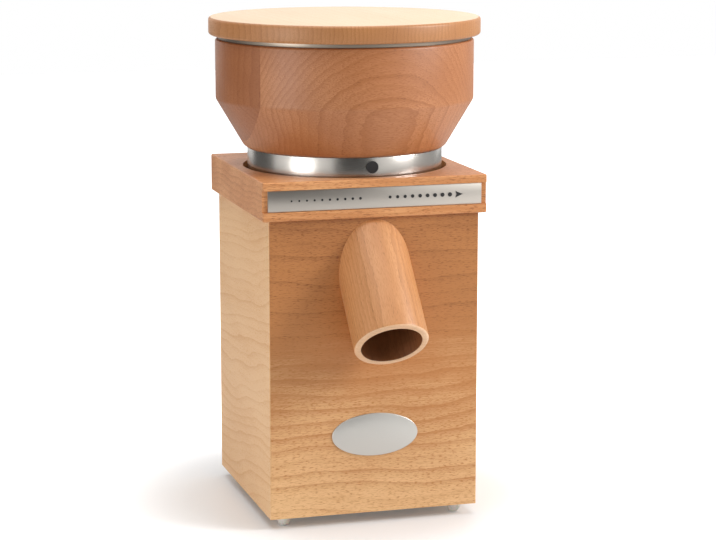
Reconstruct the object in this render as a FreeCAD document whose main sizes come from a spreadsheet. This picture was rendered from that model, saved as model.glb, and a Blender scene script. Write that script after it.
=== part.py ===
import FreeCAD, Part
import Sketcher
import math
import os
from types import SimpleNamespace

# Electric grain mill with a square beech case, a turned hopper that screws down to set
# the gap between two stones, and an induction motor that hangs under the chamber.
# The origin is on the mill's axis at the level of the floor, with the spout towards -Y.

# Driving dimensions in millimetres and degrees
SIZES = {
    "foot_height": "7.5", "foot_radius": "4.65", "foot_flat_radius": "2.9", "foot_inset": "12",
    "case_width": "141", "case_depth": "143", "case_height": "196.5",
    "panel_thickness": "12", "edge_round": "1",
    "collar_width": "150", "collar_depth": "149", "collar_height": "25.2",
    "collar_wall": "6.3", "collar_ledge": "9", "throat_gap": "0.3",
    "ring_show": "12.4", "ring_gap": "3.2", "ring_wall": "2.2", "ring_tuck": "10.8",
    "dot_radius": "4", "dot_proud": "0.15",
    "cone_height": "32.5", "bowl_foot_overhang": "2.7", "bowl_radius": "85.9",
    "rim_wall_height": "39.4", "bowl_wall": "9.5", "bowl_foot_round": "3", "rim_round": "1.5",
    "throat_radius": "20", "throat_depth": "6",
    "band_show": "2.8", "band_inset": "1.9", "lid_overhang": "4.35", "lid_thickness": "11.7",
    "lid_round": "2", "lid_spigot_depth": "5", "lid_clearance": "1",
    "spout_angle": "46.8", "spout_radius": "24.2", "spout_bore_radius": "19.8",
    "spout_length": "55.2", "spout_drop": "36.7", "spout_lip_round": "2",
    "spout_mouth_round": "1", "spout_relief": "0.8", "spout_step": "0.5",
    "port_radius": "12.5", "port_wall": "2.5",
    "plate_height": "13.7", "plate_inset": "3.5", "plate_thickness": "1.2",
    "plate_level": "6", "plate_play": "0.15", "groove_depth": "2",
    "badge_width": "58.3", "badge_height": "28.5", "badge_thickness": "0.8",
    "badge_level": "52.6",
    "flange_thickness": "3.5", "flange_gap": "4.2", "chamber_gap": "4.5",
    "chamber_bore_radius": "44", "neck_radius": "52", "neck_height": "15.5",
    "chamber_depth": "31.5", "chamber_floor": "3.5", "seal_radius": "13",
    "stone_radius": "37.5", "lower_stone_thickness": "15", "upper_stone_thickness": "16.6",
    "stone_gap": "0.6", "eye_radius": "14", "stone_lift": "10", "grinding_land": "8",
    "dish_radius": "19", "dish_depth": "4",
    "carrier_plate": "5", "lug_width": "6.6", "lug_reach": "49",
    "running_gap": "0.25", "slot_depth": "20",
    "hopper_plate_thickness": "6.2", "hopper_screw_circle": "32",
    "hub_radius": "30", "hub_thickness": "3.5", "hub_boss_radius": "12", "wiper_height": "5.7",
    "wiper_thickness": "3", "wiper_reach": "42.6",
    "shaft_radius": "9", "journal_radius": "7.5", "shaft_end_radius": "6", "thread_radius": "5",
    "bearing_radius": "17.5", "bearing_width": "11", "race_width": "2.4", "seat_wall": "4",
    "motor_screw_circle": "26",
    "stator_radius": "46", "stator_height": "58", "stator_bore_radius": "27.5",
    "air_gap": "0.5", "shield_radius": "49", "shield_height": "25", "shield_head_radius": "38",
    "shield_rim": "7", "head_thickness": "9.5", "winding_radius": "38", "winding_height": "9",
    "end_ring_inner": "19", "end_ring_outer": "25", "end_ring_height": "4",
    "bolt_radius": "1.8", "bolt_head_radius": "3.2", "bolt_head_height": "3",
    "fan_radius": "40", "fan_height": "15", "fan_drop": "31.5",
    "base_thickness": "6", "cleat_side": "12", "cleat_height": "16",
    "motor_gap": "2", "capacitor_height": "70", "capacitor_drop": "15",
    "clip_thickness": "0.8", "clip_height": "14",
    "switch_width": "22", "switch_height": "30", "switch_depth": "22", "switch_level": "42",
    "switch_inset": "26.5", "bezel_thickness": "2", "rocker_width": "15", "rocker_height": "23",
    "rocker_tilt": "10",
    "gland_radius": "8", "gland_flange_radius": "11", "gland_bore_radius": "3.6",
    "gland_level": "30", "gland_inset": "26.5", "gland_nut_radius": "12.4",
    "spring_radius": "2.3", "spring_wire_radius": "0.4",
    "screw_radius": "1.9", "screw_head_radius": "3.6", "fit": "0.1",
}

doc = FreeCAD.newDocument("GrainMill")
sheet = doc.addObject("Spreadsheet::Sheet", "Sizes")
for row, (name, value) in enumerate(SIZES.items(), start=1):
    sheet.set("A%d" % row, name)
    sheet.set("B%d" % row, value)
    sheet.setAlias("B%d" % row, name)
doc.recompute()


class Size:
    """A number together with the expression that gives it from the sheet."""

    def __init__(self, number, text):
        self.number = float(number)
        self.text = text

    def __add__(self, other):
        other = as_size(other)
        return Size(self.number + other.number, "(%s + %s)" % (self.text, other.text))

    def __sub__(self, other):
        other = as_size(other)
        return Size(self.number - other.number, "(%s - %s)" % (self.text, other.text))

    def __mul__(self, other):
        other = as_size(other)
        return Size(self.number * other.number, "%s * %s" % (self.text, other.text))

    def __truediv__(self, other):
        other = as_size(other)
        return Size(self.number / other.number, "%s / (%s)" % (self.text, other.text))

    def __neg__(self):
        return Size(-self.number, "(0 - %s)" % self.text)

    def __radd__(self, number):
        return as_size(number) + self

    def __rsub__(self, number):
        return as_size(number) - self

    def __rmul__(self, number):
        return as_size(number) * self


def as_size(value):
    return value if isinstance(value, Size) else Size(value, "(%r)" % float(value))


def tangent(angle):
    return Size(math.tan(math.radians(angle.number)), "tan(%s)" % angle.text)


def root(size):
    return Size(math.sqrt(size.number), "sqrt(%s)" % size.text)


def least(first, second):
    return Size(min(first.number, second.number), "min(%s; %s)" % (first.text, second.text))


def bind(thing, name, size):
    thing.setExpression(name, as_size(size).text)


d = SimpleNamespace(**{name: Size(value, "Sizes." + name) for name, value in SIZES.items()})

# Levels, from the floor up
case_bottom = d.foot_height
case_top = case_bottom + d.case_height
collar_top = case_top + d.collar_height
ledge_top = case_top + d.collar_ledge
bowl_bottom = collar_top + d.ring_show
cone_top = bowl_bottom + d.cone_height
rim_top = cone_top + d.rim_wall_height
lid_bottom = rim_top + d.band_show
lid_top = lid_bottom + d.lid_thickness
flange_top = ledge_top + d.flange_thickness
neck_top = flange_top + d.neck_height
chamber_bottom = ledge_top - d.chamber_depth - d.chamber_floor
chamber_floor_top = chamber_bottom + d.chamber_floor
lower_stone_bottom = chamber_floor_top + d.stone_lift
lower_stone_top = lower_stone_bottom + d.lower_stone_thickness
upper_stone_bottom = lower_stone_top + d.stone_gap
upper_stone_top = upper_stone_bottom + d.upper_stone_thickness
carrier_top = upper_stone_top + d.carrier_plate
hopper_plate_bottom = bowl_bottom - d.hopper_plate_thickness
spout_level = case_top - d.spout_drop
stator_top = chamber_bottom - d.shield_height
stator_bottom = stator_top - d.stator_height
motor_bottom = stator_bottom - d.shield_height
fan_level = motor_bottom - d.fan_drop
capacitor_level = motor_bottom - d.capacitor_drop

# Half widths and the inside of the case
half_width = d.case_width / 2
half_depth = d.case_depth / 2
inside_x = half_width - d.panel_thickness
inside_y = half_depth - d.panel_thickness
collar_x = d.collar_width / 2
collar_y = d.collar_depth / 2

# Radii that follow from the case, the collar and the bowl
collar_bore_radius = least(collar_x, collar_y) - d.collar_wall
flange_radius = collar_bore_radius - d.flange_gap
ring_radius = collar_bore_radius - d.ring_gap
ring_bore = ring_radius - d.ring_wall
bowl_foot_radius = ring_radius + d.bowl_foot_overhang
chamber_radius = least(inside_x, inside_y) - d.chamber_gap
collar_throat_radius = chamber_radius + d.throat_gap
skirt_bore = d.neck_radius + d.fit * 4
band_radius = d.bowl_radius - d.band_inset
lid_radius = d.bowl_radius + d.lid_overhang
boss_radius = d.port_radius + d.port_wall
bolt_circle = d.stator_radius + d.fit * 2
corner_room = root(inside_x * inside_x + inside_y * inside_y) - d.shield_radius - d.motor_gap
clip_radius = corner_room / (1 + math.sqrt(2)) - d.fit
capacitor_radius = clip_radius - d.clip_thickness

# The spout's axis leans down and forward from the front panel
lean = d.spout_angle
to_spout = lean + 90
outlet_run = d.case_depth * 0.65


def outlet_level(reach):
    """The level of the spout's axis at a distance in front of the mill's axis."""
    return spout_level + (half_depth - reach) * tangent(lean)


NODES = []
X_AXIS = FreeCAD.Vector(1, 0, 0)
Y_AXIS = FreeCAD.Vector(0, 1, 0)
Z_AXIS = FreeCAD.Vector(0, 0, 1)


def keep(thing, label):
    """Name a finished sub-part; the name is its file's name too."""
    thing.Label = label
    NODES.append(thing)
    return thing


def place(thing, x=0, y=0, z=0, axis=Z_AXIS, turn=0):
    thing.Placement = FreeCAD.Placement(FreeCAD.Vector(0, 0, 0), FreeCAD.Rotation(axis, 10))
    bind(thing, "Placement.Base.x", x)
    bind(thing, "Placement.Base.y", y)
    bind(thing, "Placement.Base.z", z)
    bind(thing, "Placement.Rotation.Angle", turn)
    return thing


def origin_part(body, role):
    for feature in body.Origin.OriginFeatures:
        if feature.Role == role:
            return feature


def new_body(name):
    return doc.addObject("PartDesign::Body", name)


def new_sketch(body, role="XY_Plane", lift=0):
    sketch = body.newObject("Sketcher::SketchObject", "Outline")
    sketch.AttachmentSupport = (origin_part(body, role), [""])
    sketch.MapMode = "FlatFace"
    bind(sketch, "AttachmentOffset.Base.z", lift)
    return sketch


class Bend:
    """Joins two corners of an outline with an arc that turns left (1) or right (-1)."""

    def __init__(self, radius, side):
        self.radius = as_size(radius)
        self.side = side

    def between(self, first, last):
        a = FreeCAD.Vector(first[0].number, first[1].number, 0)
        b = FreeCAD.Vector(last[0].number, last[1].number, 0)
        half = (b - a).Length / 2
        along = (b - a).normalize()
        reach = math.sqrt(max(self.radius.number ** 2 - half ** 2, 0))
        middle = (a + b) / 2 + FreeCAD.Vector(-along.y, along.x, 0) * reach * self.side
        start = math.atan2(a.y - middle.y, a.x - middle.x)
        end = math.atan2(b.y - middle.y, b.x - middle.x)
        circle = Part.Circle(middle, Z_AXIS, self.radius.number)
        if self.side > 0:
            return Part.ArcOfCircle(circle, start, end)
        return Part.ArcOfCircle(circle, end, start)


def outline(sketch, stops):
    """A closed outline through corners given as pairs of sizes, with bends between them."""
    runs = []
    for place_in_list, stop in enumerate(stops):
        if isinstance(stop, Bend):
            continue
        after = stops[(place_in_list + 1) % len(stops)]
        bend = None
        if isinstance(after, Bend):
            bend = after
            after = stops[(place_in_list + 2) % len(stops)]
        first = (as_size(stop[0]), as_size(stop[1]))
        last = (as_size(after[0]), as_size(after[1]))
        if bend:
            index = sketch.addGeometry(bend.between(first, last))
        else:
            start = FreeCAD.Vector(first[0].number, first[1].number, 0)
            end = FreeCAD.Vector(last[0].number, last[1].number, 0)
            index = sketch.addGeometry(Part.LineSegment(start, end))
        ends = (2, 1) if bend and bend.side < 0 else (1, 2)
        runs.append((index, ends, first, bend))
    for run, following in zip(runs, runs[1:] + runs[:1]):
        sketch.addConstraint(Sketcher.Constraint("Coincident", run[0], run[1][1],
                                                 following[0], following[1][0]))
    for index, ends, corner, bend in runs:
        for kind, size in (("DistanceX", corner[0]), ("DistanceY", corner[1])):
            added = sketch.addConstraint(Sketcher.Constraint(kind, index, ends[0], size.number))
            bind(sketch, "Constraints[%d]" % added, size)
        if bend:
            added = sketch.addConstraint(Sketcher.Constraint("Radius", index, bend.radius.number))
            bind(sketch, "Constraints[%d]" % added, bend.radius)


def ring_outline(sketch, radius, x=0, y=0):
    x, y, radius = as_size(x), as_size(y), as_size(radius)
    centre = FreeCAD.Vector(x.number, y.number, 0)
    index = sketch.addGeometry(Part.Circle(centre, Z_AXIS, radius.number))
    for kind, size in (("DistanceX", x), ("DistanceY", y)):
        added = sketch.addConstraint(Sketcher.Constraint(kind, index, 3, size.number))
        bind(sketch, "Constraints[%d]" % added, size)
    added = sketch.addConstraint(Sketcher.Constraint("Radius", index, radius.number))
    bind(sketch, "Constraints[%d]" % added, radius)


def pad(body, sketch, length):
    feature = body.newObject("PartDesign::Pad", "Pad")
    feature.Profile = sketch
    bind(feature, "Length", length)
    doc.recompute()
    return feature


def pocket(body, sketch, depth, reverse=False):
    before = body.Shape.Volume
    feature = body.newObject("PartDesign::Pocket", "Pocket")
    feature.Profile = sketch
    feature.Reversed = reverse
    bind(feature, "Length", depth)
    doc.recompute()
    if body.Shape.Volume > before - 1e-6:
        raise ValueError("A pocket in %s cuts nothing" % body.Name)
    return feature


def polar(body, features, count):
    pattern = body.newObject("PartDesign::PolarPattern", "Pattern")
    pattern.Originals = features
    pattern.Axis = (origin_part(body, "Z_Axis"), [""])
    pattern.Angle = 360
    pattern.Occurrences = count
    body.Tip = pattern
    doc.recompute()
    return pattern


def turned(name, stops):
    """A body turned about its own Z axis from an outline of (radius, level) corners."""
    body = new_body(name)
    sketch = new_sketch(body, "XZ_Plane")
    outline(sketch, stops)
    feature = body.newObject("PartDesign::Revolution", "Turning")
    feature.Profile = sketch
    feature.ReferenceAxis = (sketch, ["V_Axis"])
    feature.Angle = 360
    doc.recompute()
    return body


def flat(name, stops, thickness, lift=0, role="XY_Plane"):
    """A body of even thickness padded up from an outline."""
    body = new_body(name)
    sketch = new_sketch(body, role, lift)
    outline(sketch, stops)
    pad(body, sketch, thickness)
    return body


def rectangle(x_low, x_high, y_low, y_high):
    return [(x_low, y_low), (x_high, y_low), (x_high, y_high), (x_low, y_high)]


def soften(body, radius, wanted):
    """Round the edges of a body whose middle point passes a test."""
    names = []
    for index, edge in enumerate(body.Shape.Edges, start=1):
        if wanted(edge):
            names.append("Edge%d" % index)
    base_feature = body.Tip
    feature = body.newObject("PartDesign::Fillet", "Rounding")
    feature.Base = (base_feature, names)
    bind(feature, "Radius", radius)
    doc.recompute()
    return feature


def drill(body, radius, length, x=0, y=0, z=0, axis=Z_AXIS, turn=0):
    """A round hole from a point, along the body's Z axis turned about an axis."""
    before = body.Shape.Volume
    feature = body.newObject("PartDesign::SubtractiveCylinder", "Hole")
    bind(feature, "Radius", radius)
    bind(feature, "Height", length)
    place(feature, x, y, z, axis, turn)
    doc.recompute()
    if body.Shape.Volume > before - 1e-6:
        raise ValueError("A hole in %s cuts nothing" % body.Name)
    return feature


def carve(body, x, y, z):
    """A square-cornered cut; x, y and z are pairs of its lower and upper limits."""
    before = body.Shape.Volume
    feature = body.newObject("PartDesign::SubtractiveBox", "Cut")
    for name, span in (("Length", x), ("Width", y), ("Height", z)):
        bind(feature, name, as_size(span[1]) - span[0])
    place(feature, x[0], y[0], z[0])
    doc.recompute()
    if body.Shape.Volume > before - 1e-6:
        raise ValueError("A cut in %s removes nothing" % body.Name)
    return feature


def add_block(body, x, y, z):
    feature = body.newObject("PartDesign::AdditiveBox", "Block")
    for name, span in (("Length", x), ("Width", y), ("Height", z)):
        bind(feature, name, as_size(span[1]) - span[0])
    place(feature, x[0], y[0], z[0])
    doc.recompute()
    return feature


def group(label, members):
    """Separate solids that share one node."""
    thing = doc.addObject("Part::Compound", label)
    thing.Links = members
    return keep(thing, label)


def around(radius, degrees):
    """The x and y of a point on a circle about the mill's axis."""
    angle = math.radians(degrees)
    return radius * math.cos(angle), radius * math.sin(angle)


def screw(name, length, x, y, z, turn=0):
    """A countersunk screw, head up, whose head lies flush at its origin."""
    head = d.screw_head_radius
    shank = d.screw_radius
    body = turned(name, [(0, 0), (0, -length), (shank, -length), (shank, shank - head),
                         (head, 0)])
    return place(body, x, y, z, X_AXIS, turn)


def screw_hole(body, length, x, y, z):
    """The hole that such a screw sits in, with its countersink."""
    drill(body, d.screw_radius + d.fit, length, x, y, z - length)
    sink = body.newObject("PartDesign::SubtractiveCone", "Countersink")
    bind(sink, "Radius1", d.screw_radius + d.fit)
    bind(sink, "Radius2", d.screw_head_radius + d.fit)
    bind(sink, "Height", d.screw_head_radius - d.screw_radius)
    place(sink, x, y, z - (d.screw_head_radius - d.screw_radius))
    doc.recompute()


def screw_hole_below(body, length, x, y, z):
    """The same hole for a screw that goes in from below."""
    drill(body, d.screw_radius + d.fit, length, x, y, z)
    sink = body.newObject("PartDesign::SubtractiveCone", "Countersink")
    bind(sink, "Radius1", d.screw_head_radius + d.fit)
    bind(sink, "Radius2", d.screw_radius + d.fit)
    bind(sink, "Height", d.screw_head_radius - d.screw_radius)
    place(sink, x, y, z)
    doc.recompute()


# Case: four beech panels with mitred corners
def panel(name, half_along, half_out, turn):
    """A panel whose outer face is towards its own -Y, turned into its place."""
    r = d.edge_round
    nip = r * (1 - math.sqrt(0.5))
    t = d.panel_thickness
    stops = [(r - half_along, -half_out), (half_along - r, -half_out), Bend(r, 1),
             (half_along - nip, nip - half_out), (half_along - t, t - half_out),
             (t - half_along, t - half_out), (nip - half_along, nip - half_out), Bend(r, 1)]
    body = flat(name, stops, d.case_height, case_bottom)
    return place(body, turn=turn)


front = keep(panel("front_panel", half_width, half_depth, 0), "front_panel")
hole_start = inside_y - boss_radius
drill(front, boss_radius + d.fit, outlet_run, 0, -hole_start, outlet_level(hole_start), X_AXIS,
      to_spout)
keep(panel("left_panel", half_depth, half_width, -90), "left_panel")
keep(panel("right_panel", half_depth, half_width, 90), "right_panel")
back = keep(panel("back_panel", half_width, half_depth, 180), "back_panel")
# The back panel's own X runs the other way
switch_offset = inside_x - d.switch_inset
gland_offset = inside_x - d.gland_inset
cutout_x = d.switch_width / 2 - 2
cutout_z = d.switch_height / 2 - 2
carve(back, (-switch_offset - cutout_x, cutout_x - switch_offset),
      (-half_depth - 1, 1 - inside_y),
      (d.switch_level - cutout_z, d.switch_level + cutout_z))
drill(back, d.gland_radius + d.fit, d.panel_thickness + 2, gland_offset, -(inside_y - 1),
      d.gland_level, X_AXIS, 90)

# Collar: the square block on top of the case
collar_stops = rectangle(-collar_x, collar_x, -collar_y, collar_y)
collar = flat("collar", collar_stops, d.collar_height, case_top)
keep(collar, "collar")
soften(collar, d.edge_round, lambda edge: True)
bore = new_sketch(collar, "XY_Plane", ledge_top)
ring_outline(bore, collar_bore_radius)
pocket(collar, bore, d.collar_height, True)
throat = new_sketch(collar, "XY_Plane", case_top - 1)
ring_outline(throat, collar_throat_radius)
pocket(collar, throat, d.collar_height, True)
groove_bottom = case_top + d.plate_level
carve(collar, (-collar_x - 1, collar_x + 1), (-collar_y - 1, d.groove_depth - collar_y),
      (groove_bottom - d.plate_play, groove_bottom + d.plate_height + d.plate_play))
relief_start = d.chamber_bore_radius - 4
drill(collar, boss_radius + d.fit * 3, outlet_run, 0, -relief_start, outlet_level(relief_start),
      X_AXIS, to_spout)

# Scale plate in the groove, and the bare oval plate on the front
plate_half = collar_x - d.plate_inset
scale_plate = flat("scale_plate",
                   rectangle(-plate_half, plate_half, groove_bottom,
                             groove_bottom + d.plate_height),
                   d.plate_thickness, collar_y - d.groove_depth, "XZ_Plane")
keep(scale_plate, "scale_plate")
badge = new_body("badge_plate")
badge_sketch = new_sketch(badge, "XZ_Plane", half_depth)
badge_centre = FreeCAD.Vector(0, (case_bottom + d.badge_level).number, 0)
oval = Part.Ellipse(badge_centre, d.badge_width.number / 2, d.badge_height.number / 2)
oval_index = badge_sketch.addGeometry(oval)
badge_sketch.exposeInternalGeometry(oval_index)
for kind, size in (("DistanceX", as_size(0)), ("DistanceY", case_bottom + d.badge_level)):
    added = badge_sketch.addConstraint(Sketcher.Constraint(kind, oval_index, 3, size.number))
    bind(badge_sketch, "Constraints[%d]" % added, size)
for line, size in ((oval_index + 1, d.badge_width), (oval_index + 2, d.badge_height)):
    added = badge_sketch.addConstraint(Sketcher.Constraint("Distance", line, size.number))
    bind(badge_sketch, "Constraints[%d]" % added, size)
badge_sketch.addConstraint(Sketcher.Constraint("Horizontal", oval_index + 1))
pad(badge, badge_sketch, d.badge_thickness)
keep(badge, "badge_plate")

# Spout: a turned tube, mitred flush with the front panel and slightly wider behind its mouth
back_reach = d.spout_radius * tangent(lean) + 6
relief_radius = d.spout_bore_radius + d.spout_relief
step_reach = relief_radius * tangent(lean) + d.spout_step
spout_blank = turned("spout_blank", [
    (relief_radius, -back_reach), (d.spout_radius, -back_reach),
    (d.spout_radius, d.spout_length - d.spout_lip_round), Bend(d.spout_lip_round, 1),
    (d.spout_radius - d.spout_lip_round, d.spout_length),
    (d.spout_bore_radius + d.spout_mouth_round, d.spout_length), Bend(d.spout_mouth_round, 1),
    (d.spout_bore_radius, d.spout_length - d.spout_mouth_round),
    (d.spout_bore_radius, step_reach), (relief_radius, step_reach)])
place(spout_blank, 0, -half_depth, spout_level, X_AXIS, to_spout)
spout_mitre = doc.addObject("Part::Box", "spout_mitre")
for name, size in (("Length", d.spout_radius * 4), ("Width", d.spout_radius * 4),
                   ("Height", d.spout_radius * 8)):
    bind(spout_mitre, name, size)
place(spout_mitre, -d.spout_radius * 2, -half_depth, spout_level - d.spout_radius * 4)
spout = doc.addObject("Part::Cut", "outlet_spout")
spout.Base = spout_blank
spout.Tool = spout_mitre
keep(spout, "outlet_spout")

# Feet, bottom board and the cleats that hold it
feet = []
cleats = []
base_screws = []
foot_x = half_width - d.foot_inset
foot_y = half_depth - d.foot_inset
cleat_x = inside_x - d.cleat_side / 2
cleat_y = inside_y - d.cleat_side / 2
base_top = case_bottom + d.base_thickness
base = flat("base_plate", rectangle(d.fit - inside_x, inside_x - d.fit, d.fit - inside_y,
                                    inside_y - d.fit), d.base_thickness, case_bottom)
keep(base, "base_plate")
vent = new_sketch(base, "XY_Plane", case_bottom)
for vent_radius, vent_circle in ((3, 22), (3.6, 36)):
    ring_outline(vent, vent_radius, vent_circle)
vent_cut = pocket(base, vent, d.base_thickness, True)
polar(base, [vent_cut], 12)
for sign_x in (-1, 1):
    for sign_y in (-1, 1):
        foot = turned("foot", [
            (0, 0), (d.foot_flat_radius, 0), Bend(6, 1),
            (d.foot_radius, d.foot_height * 0.55), (d.foot_radius, d.foot_height),
            (0, d.foot_height)])
        feet.append(place(foot, sign_x * foot_x, sign_y * foot_y, 0))
        side = d.cleat_side / 2
        cleat = flat("cleat", rectangle(-side, side, -side, side), d.cleat_height)
        place(cleat, sign_x * cleat_x, sign_y * cleat_y, base_top)
        drill(cleat, d.screw_radius + d.fit, d.cleat_height, 0, 0, 0)
        cleats.append(cleat)
        base_screws.append(screw("base_screw", d.base_thickness + d.cleat_height * 0.7,
                                 sign_x * cleat_x, sign_y * cleat_y, case_bottom, 180))
        screw_hole_below(base, d.base_thickness, sign_x * cleat_x, sign_y * cleat_y, case_bottom)
group("rubber_feet", feet)
group("base_cleats", cleats)
group("base_screws", base_screws)

# Milling chamber: a cast cup with a flange, a threaded neck and the sloping outlet
floor_hole = d.seal_radius + d.fit
chamber = turned("chamber_cup", [
    (floor_hole, chamber_bottom), (chamber_radius, chamber_bottom), (chamber_radius, ledge_top),
    (flange_radius, ledge_top), (flange_radius, flange_top), (d.neck_radius, flange_top),
    (d.neck_radius, neck_top), (d.chamber_bore_radius, neck_top),
    (d.chamber_bore_radius, chamber_floor_top), (floor_hole, chamber_floor_top)])
boss = chamber.newObject("PartDesign::AdditiveCylinder", "OutletBoss")
bind(boss, "Radius", boss_radius)
bind(boss, "Height", outlet_run)
place(boss, 0, -d.chamber_bore_radius, outlet_level(d.chamber_bore_radius), X_AXIS, to_spout)
doc.recompute()
carve(chamber, (-half_width, half_width), (-half_depth - outlet_run, -half_depth), (0, case_top))
core = new_sketch(chamber, "XY_Plane", chamber_floor_top)
ring_outline(core, d.chamber_bore_radius)
pocket(chamber, core, d.chamber_depth * 2, True)
port_start = d.chamber_bore_radius - 10
drill(chamber, d.port_radius, outlet_run, 0, -port_start, outlet_level(port_start), X_AXIS,
      to_spout)
slot_floor = neck_top - d.slot_depth
slot_half = d.lug_width / 2 + 0.3
slot_sketch = new_sketch(chamber, "XY_Plane", slot_floor)
outline(slot_sketch, rectangle(-slot_half, slot_half, d.chamber_bore_radius - 2,
                               d.lug_reach + 0.4))
slot = pocket(chamber, slot_sketch, d.slot_depth + 2, True)
polar(chamber, [slot], 3)
keep(chamber, "milling_chamber")
chamber_screw_circle = (chamber_radius + flange_radius) / 2
chamber_screws = []
for step in range(6):
    x, y = around(chamber_screw_circle, 60 * step)
    screw_hole(chamber, 12, x, y, flange_top)
    drill(collar, d.screw_radius + d.fit, d.collar_ledge - 1, x, y, case_top + 1)
    chamber_screws.append(screw("chamber_screw", 10.5, x, y, flange_top))
group("chamber_screws", chamber_screws)
motor_screws = []
for step in range(4):
    x, y = around(d.motor_screw_circle, 45 + 90 * step)
    screw_hole(chamber, 8, x, y, chamber_floor_top)
    motor_screws.append(screw("motor_screw", 7.2, x, y, chamber_floor_top))
group("motor_screws", motor_screws)
keep(turned("shaft_seal", rectangle(d.journal_radius + d.fit * 3, d.seal_radius, chamber_bottom,
                                    chamber_floor_top)), "shaft_seal")

# Motor: two end shields, stator, windings, rotor, shaft and bearings
pocket_top = chamber_bottom - d.seat_wall
pocket_low = pocket_top - d.bearing_width
seat_radius = d.bearing_radius + d.seat_wall
inner_head = d.shield_head_radius - d.seat_wall
mouth_radius = d.stator_radius - 3
head_slope = 6
upper_shield = turned("upper_end_shield", [
    (d.shaft_radius, chamber_bottom), (d.shield_head_radius, chamber_bottom),
    (d.shield_head_radius, chamber_bottom - head_slope),
    (d.shield_radius, stator_top + d.shield_rim), (d.shield_radius, stator_top),
    (mouth_radius, stator_top), (mouth_radius, stator_top + d.seat_wall),
    (inner_head, chamber_bottom - d.head_thickness),
    (seat_radius, chamber_bottom - d.head_thickness), (seat_radius, pocket_low),
    (d.bearing_radius, pocket_low), (d.bearing_radius, pocket_top),
    (d.shaft_radius, pocket_top)])
keep(upper_shield, "upper_end_shield")
for step in range(4):
    x, y = around(d.motor_screw_circle, 45 + 90 * step)
    drill(upper_shield, d.screw_radius + d.fit, d.seat_wall + 1, x, y,
          chamber_bottom - d.seat_wall - 0.5)
seat_low = motor_bottom + d.seat_wall
seat_high = seat_low + d.bearing_width
lower_shield = turned("lower_end_shield", [
    (d.shaft_radius, motor_bottom), (d.shaft_radius, seat_low), (d.bearing_radius, seat_low),
    (d.bearing_radius, seat_high), (seat_radius, seat_high),
    (seat_radius, motor_bottom + d.head_thickness),
    (inner_head, motor_bottom + d.head_thickness),
    (mouth_radius, stator_bottom - d.seat_wall), (mouth_radius, stator_bottom),
    (d.shield_radius, stator_bottom), (d.shield_radius, stator_bottom - d.shield_rim),
    (d.shield_head_radius, motor_bottom + head_slope), (d.shield_head_radius, motor_bottom)])
keep(lower_shield, "lower_end_shield")
stator = turned("stator_core", rectangle(d.stator_bore_radius, d.stator_radius, stator_bottom,
                                         stator_top))
keep(stator, "stator_core")
bolts = []
bolt_length = d.stator_height + d.shield_rim * 1.6
bolt_seat = stator_bottom - d.shield_rim + 1
for step in range(4):
    x, y = around(bolt_circle, 45 + 90 * step)
    for shell, level, depth in ((upper_shield, stator_top, d.shield_rim),
                                (lower_shield, stator_bottom - d.shield_rim, d.shield_rim),
                                (stator, stator_bottom, d.stator_height)):
        drill(shell, d.bolt_radius + d.fit, depth + 2, x, y, level - 1)
    drill(lower_shield, d.bolt_head_radius + d.fit * 2, d.bolt_head_height * 4, x, y,
          bolt_seat - d.bolt_head_height * 4)
    bolt = turned("tie_bolt", [
        (0, -d.bolt_head_height), (d.bolt_head_radius, -d.bolt_head_height),
        (d.bolt_head_radius, 0), (d.bolt_radius, 0), (d.bolt_radius, bolt_length),
        (0, bolt_length)])
    bolts.append(place(bolt, x, y, bolt_seat))
group("tie_bolts", bolts)
coils = []
for level, name in ((stator_top, "upper_coil"), (stator_bottom - d.winding_height, "lower_coil")):
    coil = turned(name, rectangle(d.stator_bore_radius + 2, d.winding_radius, level,
                                  level + d.winding_height))
    soften(coil, (d.winding_radius - d.stator_bore_radius) / 4, lambda edge: True)
    coils.append(coil)
group("stator_windings", coils)
rotor_radius = d.stator_bore_radius - d.air_gap
end_ring_foot = stator_bottom - d.end_ring_height
end_ring_head = stator_top + d.end_ring_height
rotor = turned("rotor_core", [
    (d.shaft_radius, stator_bottom), (d.end_ring_inner, stator_bottom),
    (d.end_ring_inner, end_ring_foot), (d.end_ring_outer, end_ring_foot),
    (d.end_ring_outer, stator_bottom), (rotor_radius, stator_bottom),
    (rotor_radius, stator_top), (d.end_ring_outer, stator_top),
    (d.end_ring_outer, end_ring_head), (d.end_ring_inner, end_ring_head),
    (d.end_ring_inner, stator_top), (d.shaft_radius, stator_top)])
keep(rotor, "rotor_core")
shaft_foot = fan_level - 4
shaft = turned("motor_shaft", [
    (0, shaft_foot), (d.shaft_end_radius, shaft_foot), (d.shaft_end_radius, motor_bottom - 1),
    (d.journal_radius, motor_bottom - 1), (d.journal_radius, seat_high),
    (d.shaft_radius, seat_high), (d.shaft_radius, pocket_low), (d.journal_radius, pocket_low),
    (d.journal_radius, chamber_floor_top + 0.5), (d.shaft_end_radius, chamber_floor_top + 0.5),
    (d.shaft_end_radius, lower_stone_top - d.dish_depth),
    (d.thread_radius, lower_stone_top - d.dish_depth),
    (d.thread_radius, lower_stone_top + 2), (0, lower_stone_top + 2)])
keep(shaft, "motor_shaft")
for name, level in (("upper_bearing", pocket_low), ("lower_bearing", seat_low)):
    top = level + d.bearing_width
    inner = d.journal_radius + d.fit
    inner_race = inner + d.race_width
    outer_race = d.bearing_radius - d.race_width
    keep(turned(name, [
        (inner, level), (inner_race, level), (inner_race, level + 1), (outer_race, level + 1),
        (outer_race, level), (d.bearing_radius, level), (d.bearing_radius, top),
        (outer_race, top), (outer_race, top - 1), (inner_race, top - 1),
        (inner_race, top), (inner, top)]), name)
fan_top = fan_level + d.fan_height
fan_disc = d.fan_radius - 4
fan_boss = d.shaft_end_radius + 4
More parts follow.
